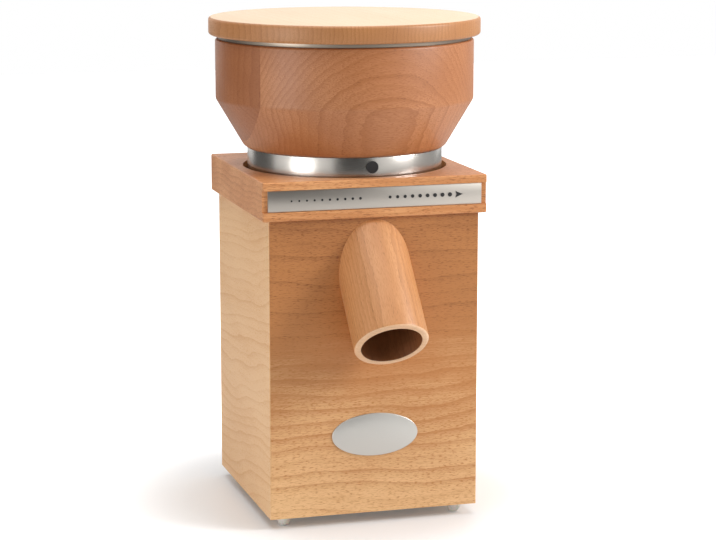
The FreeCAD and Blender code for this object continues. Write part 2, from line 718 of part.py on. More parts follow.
fan = turned("cooling_fan", [
    (d.shaft_end_radius, fan_level), (fan_boss, fan_level), (fan_boss, fan_top - 2),
    (fan_disc, fan_top - 2), (fan_disc, fan_top), (d.shaft_end_radius, fan_top)])
blade_sketch = new_sketch(fan, "XY_Plane", fan_level)
blade_root = fan_boss - 2
blade_bend = d.fan_radius * 0.6
outline(blade_sketch, [(blade_root, -1), (blade_bend, -1), Bend(d.fan_radius * 0.75, 1),
                       (d.fan_radius - 1, 5), (d.fan_radius - 1.5, 6.6),
                       Bend(d.fan_radius * 0.775, -1), (blade_bend, 0.6), (blade_root, 0.6)])
blade = pad(fan, blade_sketch, d.fan_height)
polar(fan, [blade], 9)
keep(fan, "cooling_fan")

# Lower stone on its hub, held by a cap nut
hub_bottom = lower_stone_bottom - d.hub_thickness
wiper_bottom = hub_bottom - d.wiper_height
hub = turned("stone_hub", [
    (d.shaft_end_radius, wiper_bottom), (d.hub_boss_radius, wiper_bottom),
    (d.hub_boss_radius, hub_bottom), (d.hub_radius, hub_bottom),
    (d.hub_radius, lower_stone_bottom), (d.hub_boss_radius, lower_stone_bottom),
    (d.hub_boss_radius, lower_stone_top - 6), (d.shaft_end_radius, lower_stone_top - 6)])
wiper_sketch = new_sketch(hub, "XY_Plane", wiper_bottom)
outline(wiper_sketch, rectangle(d.hub_boss_radius - 1, d.wiper_reach, -d.wiper_thickness / 2,
                                d.wiper_thickness / 2))
wiper = pad(hub, wiper_sketch, d.wiper_height + 0.5)
polar(hub, [wiper], 3)
keep(hub, "stone_hub")
land_radius = d.stone_radius - d.grinding_land
dish_floor = lower_stone_top - d.dish_depth
lower_stone = turned("lower_stone", [
    (d.hub_boss_radius + d.fit, lower_stone_bottom), (d.stone_radius, lower_stone_bottom),
    (d.stone_radius, lower_stone_top), (land_radius, lower_stone_top),
    (d.dish_radius, dish_floor), (d.hub_boss_radius + d.fit, dish_floor)])
keep(lower_stone, "lower_stone")
cap_radius = d.shaft_radius
cap_flange = d.hub_boss_radius + 3
thread_top = lower_stone_top + 2
nut = turned("cap_nut", [
    (d.thread_radius, dish_floor), (cap_flange, dish_floor), (cap_flange, dish_floor + 2),
    (cap_radius, lower_stone_top), (cap_radius, thread_top), Bend(cap_radius, 1),
    (0, thread_top + cap_radius), (0, thread_top), (d.thread_radius, thread_top)])
keep(nut, "cap_nut")

# Upper stone in its carrier, which slides in the neck and is pushed up by springs
upper_stone = turned("upper_stone", [
    (d.eye_radius + 3, upper_stone_bottom + d.dish_depth), (land_radius, upper_stone_bottom),
    (d.stone_radius, upper_stone_bottom), (d.stone_radius, upper_stone_top),
    (d.eye_radius, upper_stone_top), (d.eye_radius, upper_stone_bottom + d.dish_depth + 2)])
keep(upper_stone, "upper_stone")
carrier_radius = d.chamber_bore_radius - d.fit * 5
carrier_foot = upper_stone_bottom + 6
funnel_top = hopper_plate_bottom - d.running_gap
carrier = turned("stone_carrier", [
    (d.stone_radius, carrier_foot), (carrier_radius, carrier_foot),
    (carrier_radius, carrier_top), (d.throat_radius + 7, carrier_top),
    (d.throat_radius + 4, funnel_top), (d.throat_radius, funnel_top),
    (d.eye_radius, carrier_top - 2), (d.eye_radius, upper_stone_top),
    (d.stone_radius, upper_stone_top)])
lug_sketch = new_sketch(carrier, "XY_Plane", upper_stone_top - 1)
outline(lug_sketch, rectangle(-d.lug_width / 2, d.lug_width / 2, carrier_radius - 3, d.lug_reach))
lug = pad(carrier, lug_sketch, d.carrier_plate + 1)
polar(carrier, [lug], 3)
keep(carrier, "stone_carrier")


def spring(x, y, low, high):
    """A compression spring with its lowest wire at one level and its highest at another."""
    wire = d.spring_wire_radius.number
    radius = d.spring_radius.number
    rise = high.number - low.number - 2 * wire
    helix = Part.makeHelix(rise / 4, rise, radius)
    section = Part.Wire(Part.makeCircle(wire, FreeCAD.Vector(radius, 0, 0), Y_AXIS))
    coil = Part.Wire(helix).makePipeShell([section], True, True)
    thing = doc.addObject("Part::Feature", "spring")
    thing.Shape = coil
    return place(thing, x, y, low + wire)


spring_circle = (d.chamber_bore_radius + d.lug_reach) / 2
springs = []
for step in range(3):
    x, y = around(spring_circle, 90 + 120 * step)
    springs.append(spring(x, y, slot_floor, upper_stone_top - 1))
group("carrier_springs", springs)

# Hopper: threaded base, steel ring with its dot, and the turned bowl
skirt_outer = ring_bore - d.fit
hopper_base = turned("hopper_base", [
    (skirt_bore, flange_top + 3), (skirt_outer, flange_top + 3), (skirt_outer, bowl_bottom),
    (d.throat_radius, bowl_bottom), (d.throat_radius, hopper_plate_bottom),
    (skirt_bore, hopper_plate_bottom)])
keep(hopper_base, "hopper_base")
ring_low = collar_top - d.ring_tuck
ring = turned("hopper_ring", rectangle(ring_bore, ring_radius, ring_low, bowl_bottom))
dot_level = collar_top + d.ring_show / 2
drill(ring, d.dot_radius, ring_radius + 1, 0, 0, dot_level, X_AXIS, 90)
keep(ring, "hopper_ring")
dot_tube = turned("dot_tube", rectangle(ring_bore, ring_radius + d.dot_proud,
                                        dot_level - d.dot_radius * 1.5,
                                        dot_level + d.dot_radius * 1.5))
dot_pin = doc.addObject("Part::Cylinder", "dot_pin")
bind(dot_pin, "Radius", d.dot_radius)
bind(dot_pin, "Height", ring_radius + 4)
place(dot_pin, 0, 0, dot_level, X_AXIS, 90)
dot = doc.addObject("Part::Common", "pointer_dot")
dot.Base = dot_tube
dot.Tool = dot_pin
keep(dot, "pointer_dot")
bowl_bore = d.bowl_radius - d.bowl_wall
r = d.bowl_foot_round
bowl = turned("hopper_bowl", [
    (d.throat_radius, bowl_bottom), (bowl_foot_radius - r, bowl_bottom), Bend(r * 1.32, 1),
    (bowl_foot_radius + r * 0.35, bowl_bottom + r), (d.bowl_radius, cone_top),
    (d.bowl_radius, rim_top - d.rim_round), Bend(d.rim_round, 1),
    (d.bowl_radius - d.rim_round, rim_top), (bowl_bore + 1, rim_top), Bend(1, 1),
    (bowl_bore, rim_top - 1), (bowl_bore, cone_top + 11), Bend(16, -1),
    (bowl_bore - 6, cone_top - 1), (d.throat_radius + 3, bowl_bottom + d.throat_depth), Bend(6, 1),
    (d.throat_radius, bowl_bottom + 2)])
keep(bowl, "hopper_bowl")
hopper_screws = []
for step in range(4):
    x, y = around(d.hopper_screw_circle, 45 + 90 * step)
    screw_hole_below(hopper_base, d.hopper_plate_thickness + 1, x, y, hopper_plate_bottom)
    drill(bowl, d.screw_radius + d.fit, 7, x, y, bowl_bottom)
    hopper_screws.append(screw("hopper_screw", d.hopper_plate_thickness + 6, x, y,
                               hopper_plate_bottom, 180))
group("hopper_screws", hopper_screws)

# Lid: a turned disc with a spigot inside a steel band
spigot_radius = bowl_bore - d.lid_clearance
lid = turned("lid", [
    (0, rim_top - d.lid_spigot_depth), (spigot_radius - 1, rim_top - d.lid_spigot_depth),
    (spigot_radius, rim_top - d.lid_spigot_depth + 1), (spigot_radius, lid_bottom),
    (lid_radius - d.lid_round, lid_bottom), Bend(d.lid_round, 1),
    (lid_radius, lid_bottom + d.lid_round), (lid_radius, lid_top - d.lid_round),
    Bend(d.lid_round, 1), (lid_radius - d.lid_round, lid_top), (0, lid_top)])
keep(lid, "lid")
band = turned("lid_band", rectangle(spigot_radius, band_radius, rim_top, lid_bottom))
keep(band, "lid_band")

# Electrical parts on the back and the sides
switch = flat("switch_body", rectangle(-d.switch_width / 2, d.switch_width / 2,
                                       -d.switch_height / 2, d.switch_height / 2),
              d.bezel_thickness, 0, "XZ_Plane")
soften(switch, 0.8, lambda edge: edge.BoundBox.YMax < 0.01 - d.bezel_thickness.number)
add_block(switch, (2.2 - d.switch_width / 2, d.switch_width / 2 - 2.2), (0, d.switch_depth - 2),
          (2.2 - d.switch_height / 2, d.switch_height / 2 - 2.2))
rocker_play = 0.7
carve(switch, (-d.rocker_width / 2 - rocker_play, d.rocker_width / 2 + rocker_play),
      (-d.bezel_thickness - 1, 9),
      (-d.rocker_height / 2 - rocker_play, d.rocker_height / 2 + rocker_play))
pivot_depth = 0.5
drill(switch, 1.3, d.rocker_width + 3, -d.rocker_width / 2 - 1.5, pivot_depth, 0, Y_AXIS, 90)
for sign in (-1, 0, 1):
    add_block(switch, (-3, 3), (d.switch_depth - 3, d.switch_depth + 6),
              (sign * 8 - 0.4, sign * 8 + 0.4))
place(switch, switch_offset, half_depth, d.switch_level, Z_AXIS, 180)
keep(switch, "switch_body")
rocker_half = d.rocker_height / 2
rocker = flat("switch_rocker", [
    (3.9, rocker_half), (1.9, 0), (3.9, -rocker_half), (-2.1, 3 - rocker_half), (-4.7, 0),
    (-2.1, rocker_half - 3)], d.rocker_width, -d.rocker_width / 2, "YZ_Plane")
pivot = rocker.newObject("PartDesign::AdditiveCylinder", "Pivot")
bind(pivot, "Radius", 1.2)
bind(pivot, "Height", d.rocker_width + 2.4)
place(pivot, -d.rocker_width / 2 - 1.2, 0, 0, Y_AXIS, 90)
doc.recompute()
place(rocker, switch_offset, half_depth - pivot_depth, d.switch_level, X_AXIS, -d.rocker_tilt)
keep(rocker, "switch_rocker")
gland = turned("cable_gland", [
    (d.gland_bore_radius, -3), (d.gland_flange_radius - 1, -3), (d.gland_flange_radius, -2),
    (d.gland_flange_radius, 0), (d.gland_radius, 0), (d.gland_radius, d.panel_thickness + 5),
    (d.gland_bore_radius, d.panel_thickness + 5)])
place(gland, -gland_offset, half_depth, d.gland_level, X_AXIS, 90)
keep(gland, "cable_gland")
gland_nut = new_body("gland_nut")
nut_sketch = new_sketch(gland_nut, "XY_Plane", d.panel_thickness)
hexagon = [around(d.gland_nut_radius, 60 * step) for step in range(6)]
outline(nut_sketch, hexagon)
ring_outline(nut_sketch, d.gland_radius + d.fit / 2)
pad(gland_nut, nut_sketch, 4)
place(gland_nut, -gland_offset, half_depth, d.gland_level, X_AXIS, 90)
keep(gland_nut, "gland_nut")
capacitor_x = clip_radius + d.fit * 4 - inside_x
capacitor_y = inside_y - clip_radius
can_rim = capacitor_radius - 3
capacitor = turned("motor_capacitor", [
    (0, 0), (capacitor_radius - 1, 0), (capacitor_radius, 1),
    (capacitor_radius, d.capacitor_height - 2), (capacitor_radius - 1, d.capacitor_height),
    (can_rim, d.capacitor_height), (can_rim, d.capacitor_height - 1),
    (0, d.capacitor_height - 1)])
place(capacitor, capacitor_x, capacitor_y, capacitor_level)
keep(capacitor, "motor_capacitor")
clip = turned("capacitor_clip", rectangle(capacitor_radius, clip_radius, 0, d.clip_height))
carve(clip, (-capacitor_radius / 3, capacitor_radius / 3), (-clip_radius - 1, -clip_radius / 2),
      (-1, d.clip_height + 1))
add_block(clip, (clip_radius * 0.6, clip_radius * 1.8), (capacitor_radius, clip_radius),
          (0, d.clip_height))
add_block(clip, (0, clip_radius * 0.7), (capacitor_radius + d.fit / 10, clip_radius),
          (0, d.clip_height))
place(clip, capacitor_x, capacitor_y, capacitor_level + d.capacitor_height * 0.36)
keep(clip, "capacitor_clip")
terminal = flat("terminal_block", rectangle(-7, 0, -15, 15), 16, 0)
for step in range(3):
    drill(terminal, 2.2, 10, -3.5, step * 9 - 9, 8)
    drill(terminal, 1.6, 20, -9, step * 9 - 9, 4, Y_AXIS, 90)
place(terminal, inside_x, 10, base_top + 14)
keep(terminal, "terminal_block")

doc.recompute()
for thing in doc.Objects:
    if "Invalid" in thing.State or "Error" in thing.State:
        raise ValueError("%s failed: %s" % (thing.Label, thing.State))
os.makedirs("parts", exist_ok=True)
for thing in NODES:
    shape = thing.Shape
    if shape.isNull() or not shape.isValid():
        raise ValueError("%s has no valid shape" % thing.Label)
    print("%-18s %2d solids %10.0f mm3" % (thing.Label, len(shape.Solids), shape.Volume))
    shape.exportStep("parts/%s.step" % thing.Label)
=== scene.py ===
# %% [markdown]
# # An electric grain mill in beech and steel
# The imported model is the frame: every CAD part is already in its place, in metres. This script
# gives each part its finish, and models again, with finer meshes, the turned and stamped pieces
# whose light and reflections the eye follows.

# %% Load the frame
import math

import bmesh
import bpy
from mathutils import Matrix, Vector


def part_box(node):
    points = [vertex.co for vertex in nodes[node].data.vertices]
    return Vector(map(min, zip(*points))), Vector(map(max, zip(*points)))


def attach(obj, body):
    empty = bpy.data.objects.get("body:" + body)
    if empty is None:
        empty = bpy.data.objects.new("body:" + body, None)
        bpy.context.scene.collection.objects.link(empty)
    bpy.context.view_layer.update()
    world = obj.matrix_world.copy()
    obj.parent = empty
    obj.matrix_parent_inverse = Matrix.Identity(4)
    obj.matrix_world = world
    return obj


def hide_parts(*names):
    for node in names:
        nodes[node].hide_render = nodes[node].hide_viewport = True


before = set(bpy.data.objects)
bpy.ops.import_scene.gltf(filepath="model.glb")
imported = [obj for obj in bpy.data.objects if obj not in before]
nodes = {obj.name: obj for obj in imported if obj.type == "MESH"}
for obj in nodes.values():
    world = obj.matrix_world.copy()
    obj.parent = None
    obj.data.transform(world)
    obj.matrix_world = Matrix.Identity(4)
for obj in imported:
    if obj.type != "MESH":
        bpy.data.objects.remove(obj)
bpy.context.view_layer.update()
MM = 0.001

# %% [markdown]
# A part's box gives its radius, its foot and its top, so a finer mesh starts from the box of the
# part that it stands for and fits by itself. What a box can't tell, such as a wall, a rounding
# or a slope, is written where it is first needed.

# %% Read boxes from the frame
case_low, case_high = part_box("front_panel")
front_y = case_low[1]
quarter = math.pi / 2
spout_slope = math.radians(46.8)


def size_of(box):
    """Width, depth and height of a box."""
    low, high = box
    return [top - bottom for bottom, top in zip(low, high)]


def middle_of(box):
    """The point in the middle of a box."""
    low, high = box
    return [(top + bottom) / 2 for bottom, top in zip(low, high)]


print("front panel at y in mm:", round(front_y / MM, 1))

# %% [markdown]
# ## Nodes
# A finish is a small tree of nodes. In the editor each node is placed and linked by hand. In
# a script the same few moves come back all the time, so each gets a helper. The first two
# work on one number: a sum, and a soft step from 0 to 1.


# %% Sums and soft steps
def math_node(tree, operation, *values, clamp=False):
    """One sum, of numbers or of what other nodes give."""
    node = tree.nodes.new("ShaderNodeMath")
    node.operation = operation
    node.use_clamp = clamp
    for place, value in enumerate(values):
        if isinstance(value, (int, float)):
            node.inputs[place].default_value = value
        else:
            tree.links.new(value, node.inputs[place])
    return node.outputs[0]


def smooth_step(tree, value, low, high):
    """0 up to low, 1 from high on, and a soft passage between them."""
    node = tree.nodes.new("ShaderNodeMapRange")
    node.interpolation_type = "SMOOTHSTEP"
    node.inputs["From Min"].default_value = low
    node.inputs["From Max"].default_value = high
    tree.links.new(value, node.inputs["Value"])
    return node.outputs["Result"]


print("helpers for numbers: math_node, smooth_step")

# %% [markdown]
# A noise looks alike in all directions, and wood and scratches don't. Stretching its
# coordinates by a different scale along each axis gives it a direction.


# %% Stretched noise
def stretched(tree, vector, scale, detail=2.0, rough=0.5):
    """A noise from 0 to 1, stretched by a different scale along each axis."""
    mapping = tree.nodes.new("ShaderNodeMapping")
    mapping.inputs["Scale"].default_value = scale
    tree.links.new(vector, mapping.inputs["Vector"])
    noise = tree.nodes.new("ShaderNodeTexNoise")
    noise.inputs["Scale"].default_value = 1.0
    noise.inputs["Detail"].default_value = detail
    noise.inputs["Roughness"].default_value = rough
    tree.links.new(mapping.outputs[0], noise.inputs["Vector"])
    return noise.outputs["Fac"]


def swinging(tree, vector, scale, detail=2.0, rough=0.5):
    """The same noise, moved down so that it swings about zero."""
    return math_node(tree, "SUBTRACT", stretched(tree, vector, scale, detail, rough), 0.5)


print("helpers for noise: stretched, swinging")

# %% [markdown]
# A pattern that more than one material uses is a node group, built once. Its sockets are made
# through the interface of its tree, and each has a name and a usual value.


# %% An empty group
def new_group(name, values, results):
    """An empty node group with a Vector, named values and named results."""
    tree = bpy.data.node_groups.new(name, "ShaderNodeTree")
    tree.interface.new_socket(name="Vector", in_out="INPUT", socket_type="NodeSocketVector")
    for label, value in values.items():
        socket = tree.interface.new_socket(name=label, in_out="INPUT",
                                           socket_type="NodeSocketFloat")
        socket.default_value = value
    for label in results:
        tree.interface.new_socket(name=label, in_out="OUTPUT", socket_type="NodeSocketFloat")
    inputs = tree.nodes.new("NodeGroupInput").outputs
    outputs = tree.nodes.new("NodeGroupOutput").inputs
    print("group:", name, "with", len(values) + 1, "inputs and", len(results), "outputs")
    return tree, inputs, outputs


print("helper for groups: new_group")

# %% [markdown]
# ## Grain
# Beech has three marks that the eye reads at once: growth rings, which show as soft lines,
# short dark flecks that all lie along the grain, and a slow change of tone from board to board.
# One node group makes all three from a position whose X runs along the grain and whose Z runs
# through the growth rings. Each material turns its own coordinates into that order, so the
# figure goes through the wood as it does in the real block.
#
# A ring is a year of growth: it starts pale, darkens slowly and ends at a line. A wave texture
# has bands that are all alike, so here the distance through the rings is bent by two noises and
# divided by the ring spacing. The whole part of that number is the year, which says how strong
# its line is. The rest says how late in the year it is.

# %% Growth rings
# Noise scales, in waves per millimetre along the grain, across it and through the rings
BEND_SCALE = (0.009, 0.022, 0.022)
TREMBLE_SCALE = (0.06, 0.16, 0.16)
TREMBLE_MM = 2.2
LATE_POWER = 3.0
LINE_STARTS_TO_FADE = 0.93
FAINTEST_YEAR = 0.25


def growth_rings(tree, here, along, depth, inputs):
    """A mask that rises through each year and falls off at its end."""
    bend = swinging(tree, here, BEND_SCALE, detail=1.5)
    tremble = swinging(tree, here, TREMBLE_SCALE)
    ring_at = math_node(tree, "MULTIPLY_ADD", bend, inputs["Wander"], depth)
    ring_at = math_node(tree, "MULTIPLY_ADD", tremble, TREMBLE_MM, ring_at)
    ring_at = math_node(tree, "MULTIPLY_ADD", along, inputs["Slope"], ring_at)
    ring_count = math_node(tree, "DIVIDE", ring_at, inputs["Ring Spacing"])
    year = math_node(tree, "FLOOR", ring_count)
    part_of_year = math_node(tree, "FRACT", ring_count)
    chance = tree.nodes.new("ShaderNodeTexWhiteNoise")
    chance.noise_dimensions = "1D"
    tree.links.new(year, chance.inputs["W"])
    late = math_node(tree, "POWER", part_of_year, LATE_POWER)
    gone = smooth_step(tree, part_of_year, LINE_STARTS_TO_FADE, 1.0)
    late = math_node(tree, "MULTIPLY", late, math_node(tree, "SUBTRACT", 1.0, gone))
    weight = math_node(tree, "MULTIPLY_ADD", chance.outputs["Value"], 1 - FAINTEST_YEAR,
                       FAINTEST_YEAR)
    return math_node(tree, "MULTIPLY", late, weight)


print("the line of a year fades from", LINE_STARTS_TO_FADE, "of that year on")

# %% [markdown]
# The flecks, the fibres and the clouds are three noises of one kind. Flecks are short and have
# an edge, so that noise is cut by a step. Fibres are long and very thin. Clouds are broad, and
# change the tone of a whole board. Flecks also lie a little lower than the wood between them.

# %% The beech grain group
FLECK_SCALE = (0.34, 2.1, 2.1)
FIBRE_SCALE = (0.045, 2.6, 2.6)
CLOUD_SCALE = (0.012, 0.03, 0.03)
FLECK_STARTS, FLECK_FULL = 0.54, 0.68
FIBRE_TONE = 0.35
FLECK_HEIGHT = -0.6
GRAIN_VALUES = {"Ring Spacing": 6.0, "Wander": 10.0, "Slope": 0.0, "Ring Strength": 0.5,
                "Fleck Strength": 0.5, "Cloud Strength": 0.5, "Base Tone": 0.3,
                "Tone Per Mm": 0.0}


def build_beech_grain():
    """Tone, fleck mask and height of beech, from a position in metres along the grain."""
    tree, inputs, outputs = new_group("beech_grain", GRAIN_VALUES, ("Tone", "Fleck", "Height"))
    in_mm = tree.nodes.new("ShaderNodeVectorMath")
    in_mm.operation = "SCALE"
    in_mm.inputs["Scale"].default_value = 1 / MM
    tree.links.new(inputs["Vector"], in_mm.inputs[0])
    here = in_mm.outputs[0]
    parts = tree.nodes.new("ShaderNodeSeparateXYZ")
    tree.links.new(here, parts.inputs[0])
    along, depth = parts.outputs["X"], parts.outputs["Z"]
    rings = growth_rings(tree, here, along, depth, inputs)
    fleck_noise = stretched(tree, here, FLECK_SCALE, detail=1.0, rough=0.4)
    fleck = smooth_step(tree, fleck_noise, FLECK_STARTS, FLECK_FULL)
    fibre = swinging(tree, here, FIBRE_SCALE, detail=3.0, rough=0.6)
    cloud = swinging(tree, here, CLOUD_SCALE)
    # A tone that rises along the third axis is painted shade; only the case front uses it
    tone = math_node(tree, "MULTIPLY_ADD", depth, inputs["Tone Per Mm"], inputs["Base Tone"])
    tone = math_node(tree, "MULTIPLY_ADD", rings, inputs["Ring Strength"], tone)
    tone = math_node(tree, "MULTIPLY_ADD", fleck, inputs["Fleck Strength"], tone)
    tone = math_node(tree, "MULTIPLY_ADD", fibre, FIBRE_TONE, tone)
    tone = math_node(tree, "MULTIPLY_ADD", cloud, inputs["Cloud Strength"], tone, clamp=True)
    height = math_node(tree, "MULTIPLY_ADD", fleck, FLECK_HEIGHT, fibre)
    for label, result in (("Tone", tone), ("Fleck", fleck), ("Height", height)):
        tree.links.new(result, outputs[label])
    return tree


beech_grain = build_beech_grain()
print("grain nodes:", len(beech_grain.nodes))

# %% [markdown]
# ## Parts of every finish
# A colour that is picked on a screen isn't the number that a shader takes, so it is converted
# first. Positions come from Object coordinates, which stay with a piece in every view and when
# it moves.


# %% Colours, materials and positions
def linear(red, green, blue):
    """A colour as it is seen on a screen, 0 to 255, as the number that a shader takes."""
    def one(value):
        value /= 255
        return value / 12.92 if value <= 0.04045 else ((value + 0.055) / 1.055) ** 2.4
    return (one(red), one(green), one(blue), 1.0)


def new_material(name):
    """A material, its node tree and its shader."""
    material = bpy.data.materials.new(name)
    material.use_nodes = True
    print("material:", name)
    return material, material.node_tree, material.node_tree.nodes["Principled BSDF"]


def own_position(tree, order="XYZ", turn=(0, 0, 0)):
    """Object coordinates turned, and then with their axes in the order that a group wants."""
    coordinates = tree.nodes.new("ShaderNodeTexCoord")
    mapping = tree.nodes.new("ShaderNodeMapping")
    mapping.inputs["Rotation"].default_value = turn
    tree.links.new(coordinates.outputs["Object"], mapping.inputs["Vector"])
    split = tree.nodes.new("ShaderNodeSeparateXYZ")
    join = tree.nodes.new("ShaderNodeCombineXYZ")
    tree.links.new(mapping.outputs[0], split.inputs[0])
    for place, axis in enumerate(order):
        tree.links.new(split.outputs[axis], join.inputs[place])
    return join.outputs[0]


print("the middle grey of a screen, for a shader:", round(linear(128, 128, 128)[0], 3))

# %% [markdown]
# A material places a group, feeds it a position and sets its own values by name. Its relief
# comes from a height, through a Bump node: real bumps this small would need millions of faces.


# %% Groups and relief in a material
def set_values(node, values):
    """Set inputs by name, with ring_spacing standing for Ring Spacing."""
    for key, value in values.items():
        node.inputs[key.replace("_", " ").title()].default_value = value


def place_group(tree, group, position, **values):
    """A group in a material, fed by a position, with its own values."""
    node = tree.nodes.new("ShaderNodeGroup")
    node.node_tree = group
    tree.links.new(position, node.inputs["Vector"])
    set_values(node, values)
    return node


def add_relief(tree, shader, height, strength, distance):
    """Small bumps from a height, fed to the shader's normal."""
    bump = tree.nodes.new("ShaderNodeBump")
    bump.inputs["Strength"].default_value = strength
    bump.inputs["Distance"].default_value = distance
    tree.links.new(height, bump.inputs["Height"])
    tree.links.new(bump.outputs["Normal"], shader.inputs["Normal"])


print("helpers for materials: set_values, place_group, add_relief")

# %% [markdown]
# ## Beech finishes
# The same wood shows in very different ways here: a pale lid, a red-brown hopper and a golden
# case. A finish is three colours, from pale to dark, that the tone of the grain picks from, and
# an order of the axes. One picture of wood wrapped round each piece would be quicker, but its
# figure would bend at the edges instead of going through them.

# %% Make one beech finish
MIDDLE_TONE = 0.45
FLECK_ROUGHNESS = 0.12
WOOD_RELIEF = 0.25
WOOD_RELIEF_DEPTH = 0.12 * MM


def beech(name, order, pale, middle, dark, turn=(0, 0, 0), gloss=0.42, **grain):
    """A beech finish. The order names the axes along, across and through the rings."""
    material, tree, shader = new_material(name)
    group = place_group(tree, beech_grain, own_position(tree, order, turn), **grain)
    ramp = tree.nodes.new("ShaderNodeValToRGB")
    ramp.color_ramp.interpolation = "EASE"
    ramp.color_ramp.elements[0].color = linear(*pale)
    ramp.color_ramp.elements[1].color = linear(*dark)
    ramp.color_ramp.elements.new(MIDDLE_TONE).color = linear(*middle)
    tree.links.new(group.outputs["Tone"], ramp.inputs["Fac"])
    tree.links.new(ramp.outputs["Color"], shader.inputs["Base Color"])
    rough = math_node(tree, "MULTIPLY_ADD", group.outputs["Fleck"], FLECK_ROUGHNESS, gloss)
    tree.links.new(rough, shader.inputs["Roughness"])
    add_relief(tree, shader, group.outputs["Height"], WOOD_RELIEF, WOOD_RELIEF_DEPTH)
    return material


print("relief of the wood in mm:", round(WOOD_RELIEF_DEPTH / MM, 2))

# %% [markdown]
# The boards of the case and the collar lie level, so their grain runs from side to side on the
# front and from front to back on the sides. The front gets darker towards its top, and that is
# painted shade: the collar shades the top of the front, and the floor throws light on its foot.
# A tone that grows with each millimetre of height paints it. The base is plywood, with thin and
# even layers.

# %% Beech of the case and the collar
# The front's tone rises with height: painted shade, darkest under the collar
case_front = beech("case_front", "XYZ", (238, 192, 138), (190, 126, 70), (128, 72, 34),
                   ring_spacing=9.0, wander=24.0, ring_strength=0.20, fleck_strength=0.20,
                   cloud_strength=0.30, base_tone=0.05, tone_per_mm=0.0028)
case_side = beech("case_side", "YXZ", (244, 198, 146), (224, 165, 102), (178, 114, 58),
                  ring_spacing=7.0, wander=34.0, slope=0.12, ring_strength=0.26,
                  fleck_strength=0.14, cloud_strength=0.35, base_tone=0.12)
collar_wood = beech("collar_wood", "XYZ", (240, 182, 126), (202, 134, 80), (128, 68, 34),
                    ring_spacing=4.0, wander=16.0, ring_strength=0.38, fleck_strength=0.35,
                    cloud_strength=0.6)
plywood = beech("plywood", "XYZ", (222, 196, 152), (208, 178, 130), (168, 132, 90),
                ring_spacing=1.5, wander=4.0, ring_strength=0.3, fleck_strength=0.15)

# %% [markdown]
# The hopper is turned from boards glued side by side, and one of them is darker and lies at
# another angle. The lid shows its edge in a red-brown. Its top is a far paler copy of the same
# beech, nearly white: partly the paler face grain and partly painted light, as the top faces the
# overhead lamp.

# %% Beech of the hopper and the lid
hopper_wood = beech("hopper_wood", "XZY", (214, 150, 104), (174, 110, 66), (118, 62, 32),
                    turn=(math.radians(-28), 0, math.radians(-4)), ring_spacing=3.2, wander=9.0,
                    ring_strength=0.30, fleck_strength=0.24, cloud_strength=0.4, gloss=0.40)
hopper_stave = beech("hopper_stave", "XZY", (186, 122, 78), (156, 94, 54), (108, 58, 30),
                     turn=(0, 0, math.radians(35)), ring_spacing=3.0, wander=6.0,
                     ring_strength=0.30, fleck_strength=0.24, cloud_strength=0.4, gloss=0.40)
lid_wood = beech("lid_wood", "YZX", (210, 152, 100), (178, 120, 72), (128, 76, 40),
                 ring_spacing=2.6, wander=8.0, ring_strength=0.40, fleck_strength=0.15,
                 cloud_strength=0.5)
# Partly painted light: the top that faces the overhead lamp is painted paler than the edge
lid_top_grain_and_painted_light = beech("lid_top_grain_and_painted_light", "YZX", (240, 214, 184), (230, 200, 166), (204, 168, 128),
                     ring_spacing=7.0, wander=12.0, ring_strength=0.3, fleck_strength=0.15,
                     cloud_strength=0.4)

# %% [markdown]
# The grain of the spout runs along its sloping axis, so its coordinates are tipped back by the
# same slope before they reach the grain. The lip is paler than the outside of the tube. The bore
# is darker: that is painted shade, since little light gets into it.

# %% Beech of the spout
along_spout = (-quarter - spout_slope, 0, 0)
spout_wood = beech("spout_wood", "ZXY", (232, 174, 120), (196, 134, 82), (134, 82, 42),
                   turn=along_spout, ring_spacing=2.2, wander=3.0, ring_strength=0.38,
                   fleck_strength=0.20, cloud_strength=0.2, gloss=0.36)
# The bore's darker beech is painted shade
spout_bore_painted_shade = beech("spout_bore_painted_shade", "ZXY", (150, 94, 56), (122, 72, 38), (84, 46, 22),
                        turn=along_spout, ring_spacing=2.2, wander=3.0, ring_strength=0.3,
                        fleck_strength=0.2)
spout_lip_wood = beech("spout_lip_wood", "ZXY", (246, 214, 180), (230, 186, 146), (190, 136, 92),
                       turn=along_spout, ring_spacing=3.4, wander=7.0, ring_strength=0.3,
                       fleck_strength=0.2)

# %% [markdown]
# ## Metal
# The ring, the band and the plates are brushed steel. Brushing leaves thousands of fine
# level scratches, and so does a lathe. A noise that is very short in height and very long the
# other two ways, fed to roughness and bump, spreads each highlight up and down.

# %% The brushing group
# Noise scales, in waves per metre
SCRATCH_SCALE = (40, 40, 3000)
SMEAR_SCALE = (30, 30, 300)


def build_brushing():
    """Fine parallel scratches: their height, and the roughness they leave."""
    tree, inputs, outputs = new_group("brushing", {"Roughness": 0.3, "Depth": 0.1},
                                      ("Roughness", "Height"))
    scratch = swinging(tree, inputs["Vector"], SCRATCH_SCALE)
    smear = swinging(tree, inputs["Vector"], SMEAR_SCALE)
    spread = math_node(tree, "ADD", scratch, smear)
    rough = math_node(tree, "MULTIPLY_ADD", spread, inputs["Depth"], inputs["Roughness"])
    tree.links.new(rough, outputs["Roughness"])
    tree.links.new(scratch, outputs["Height"])
    return tree


brushing = build_brushing()

# %% [markdown]
# A metal has no colour of its own under its gloss: its base colour tints what it mirrors. So the
# steels differ in a warm or cool grey and in how rough they are. The ring is the smoothest, and
# the castings of the motor and the chamber are the roughest.

# %% The metals
METAL_RELIEF = 0.3


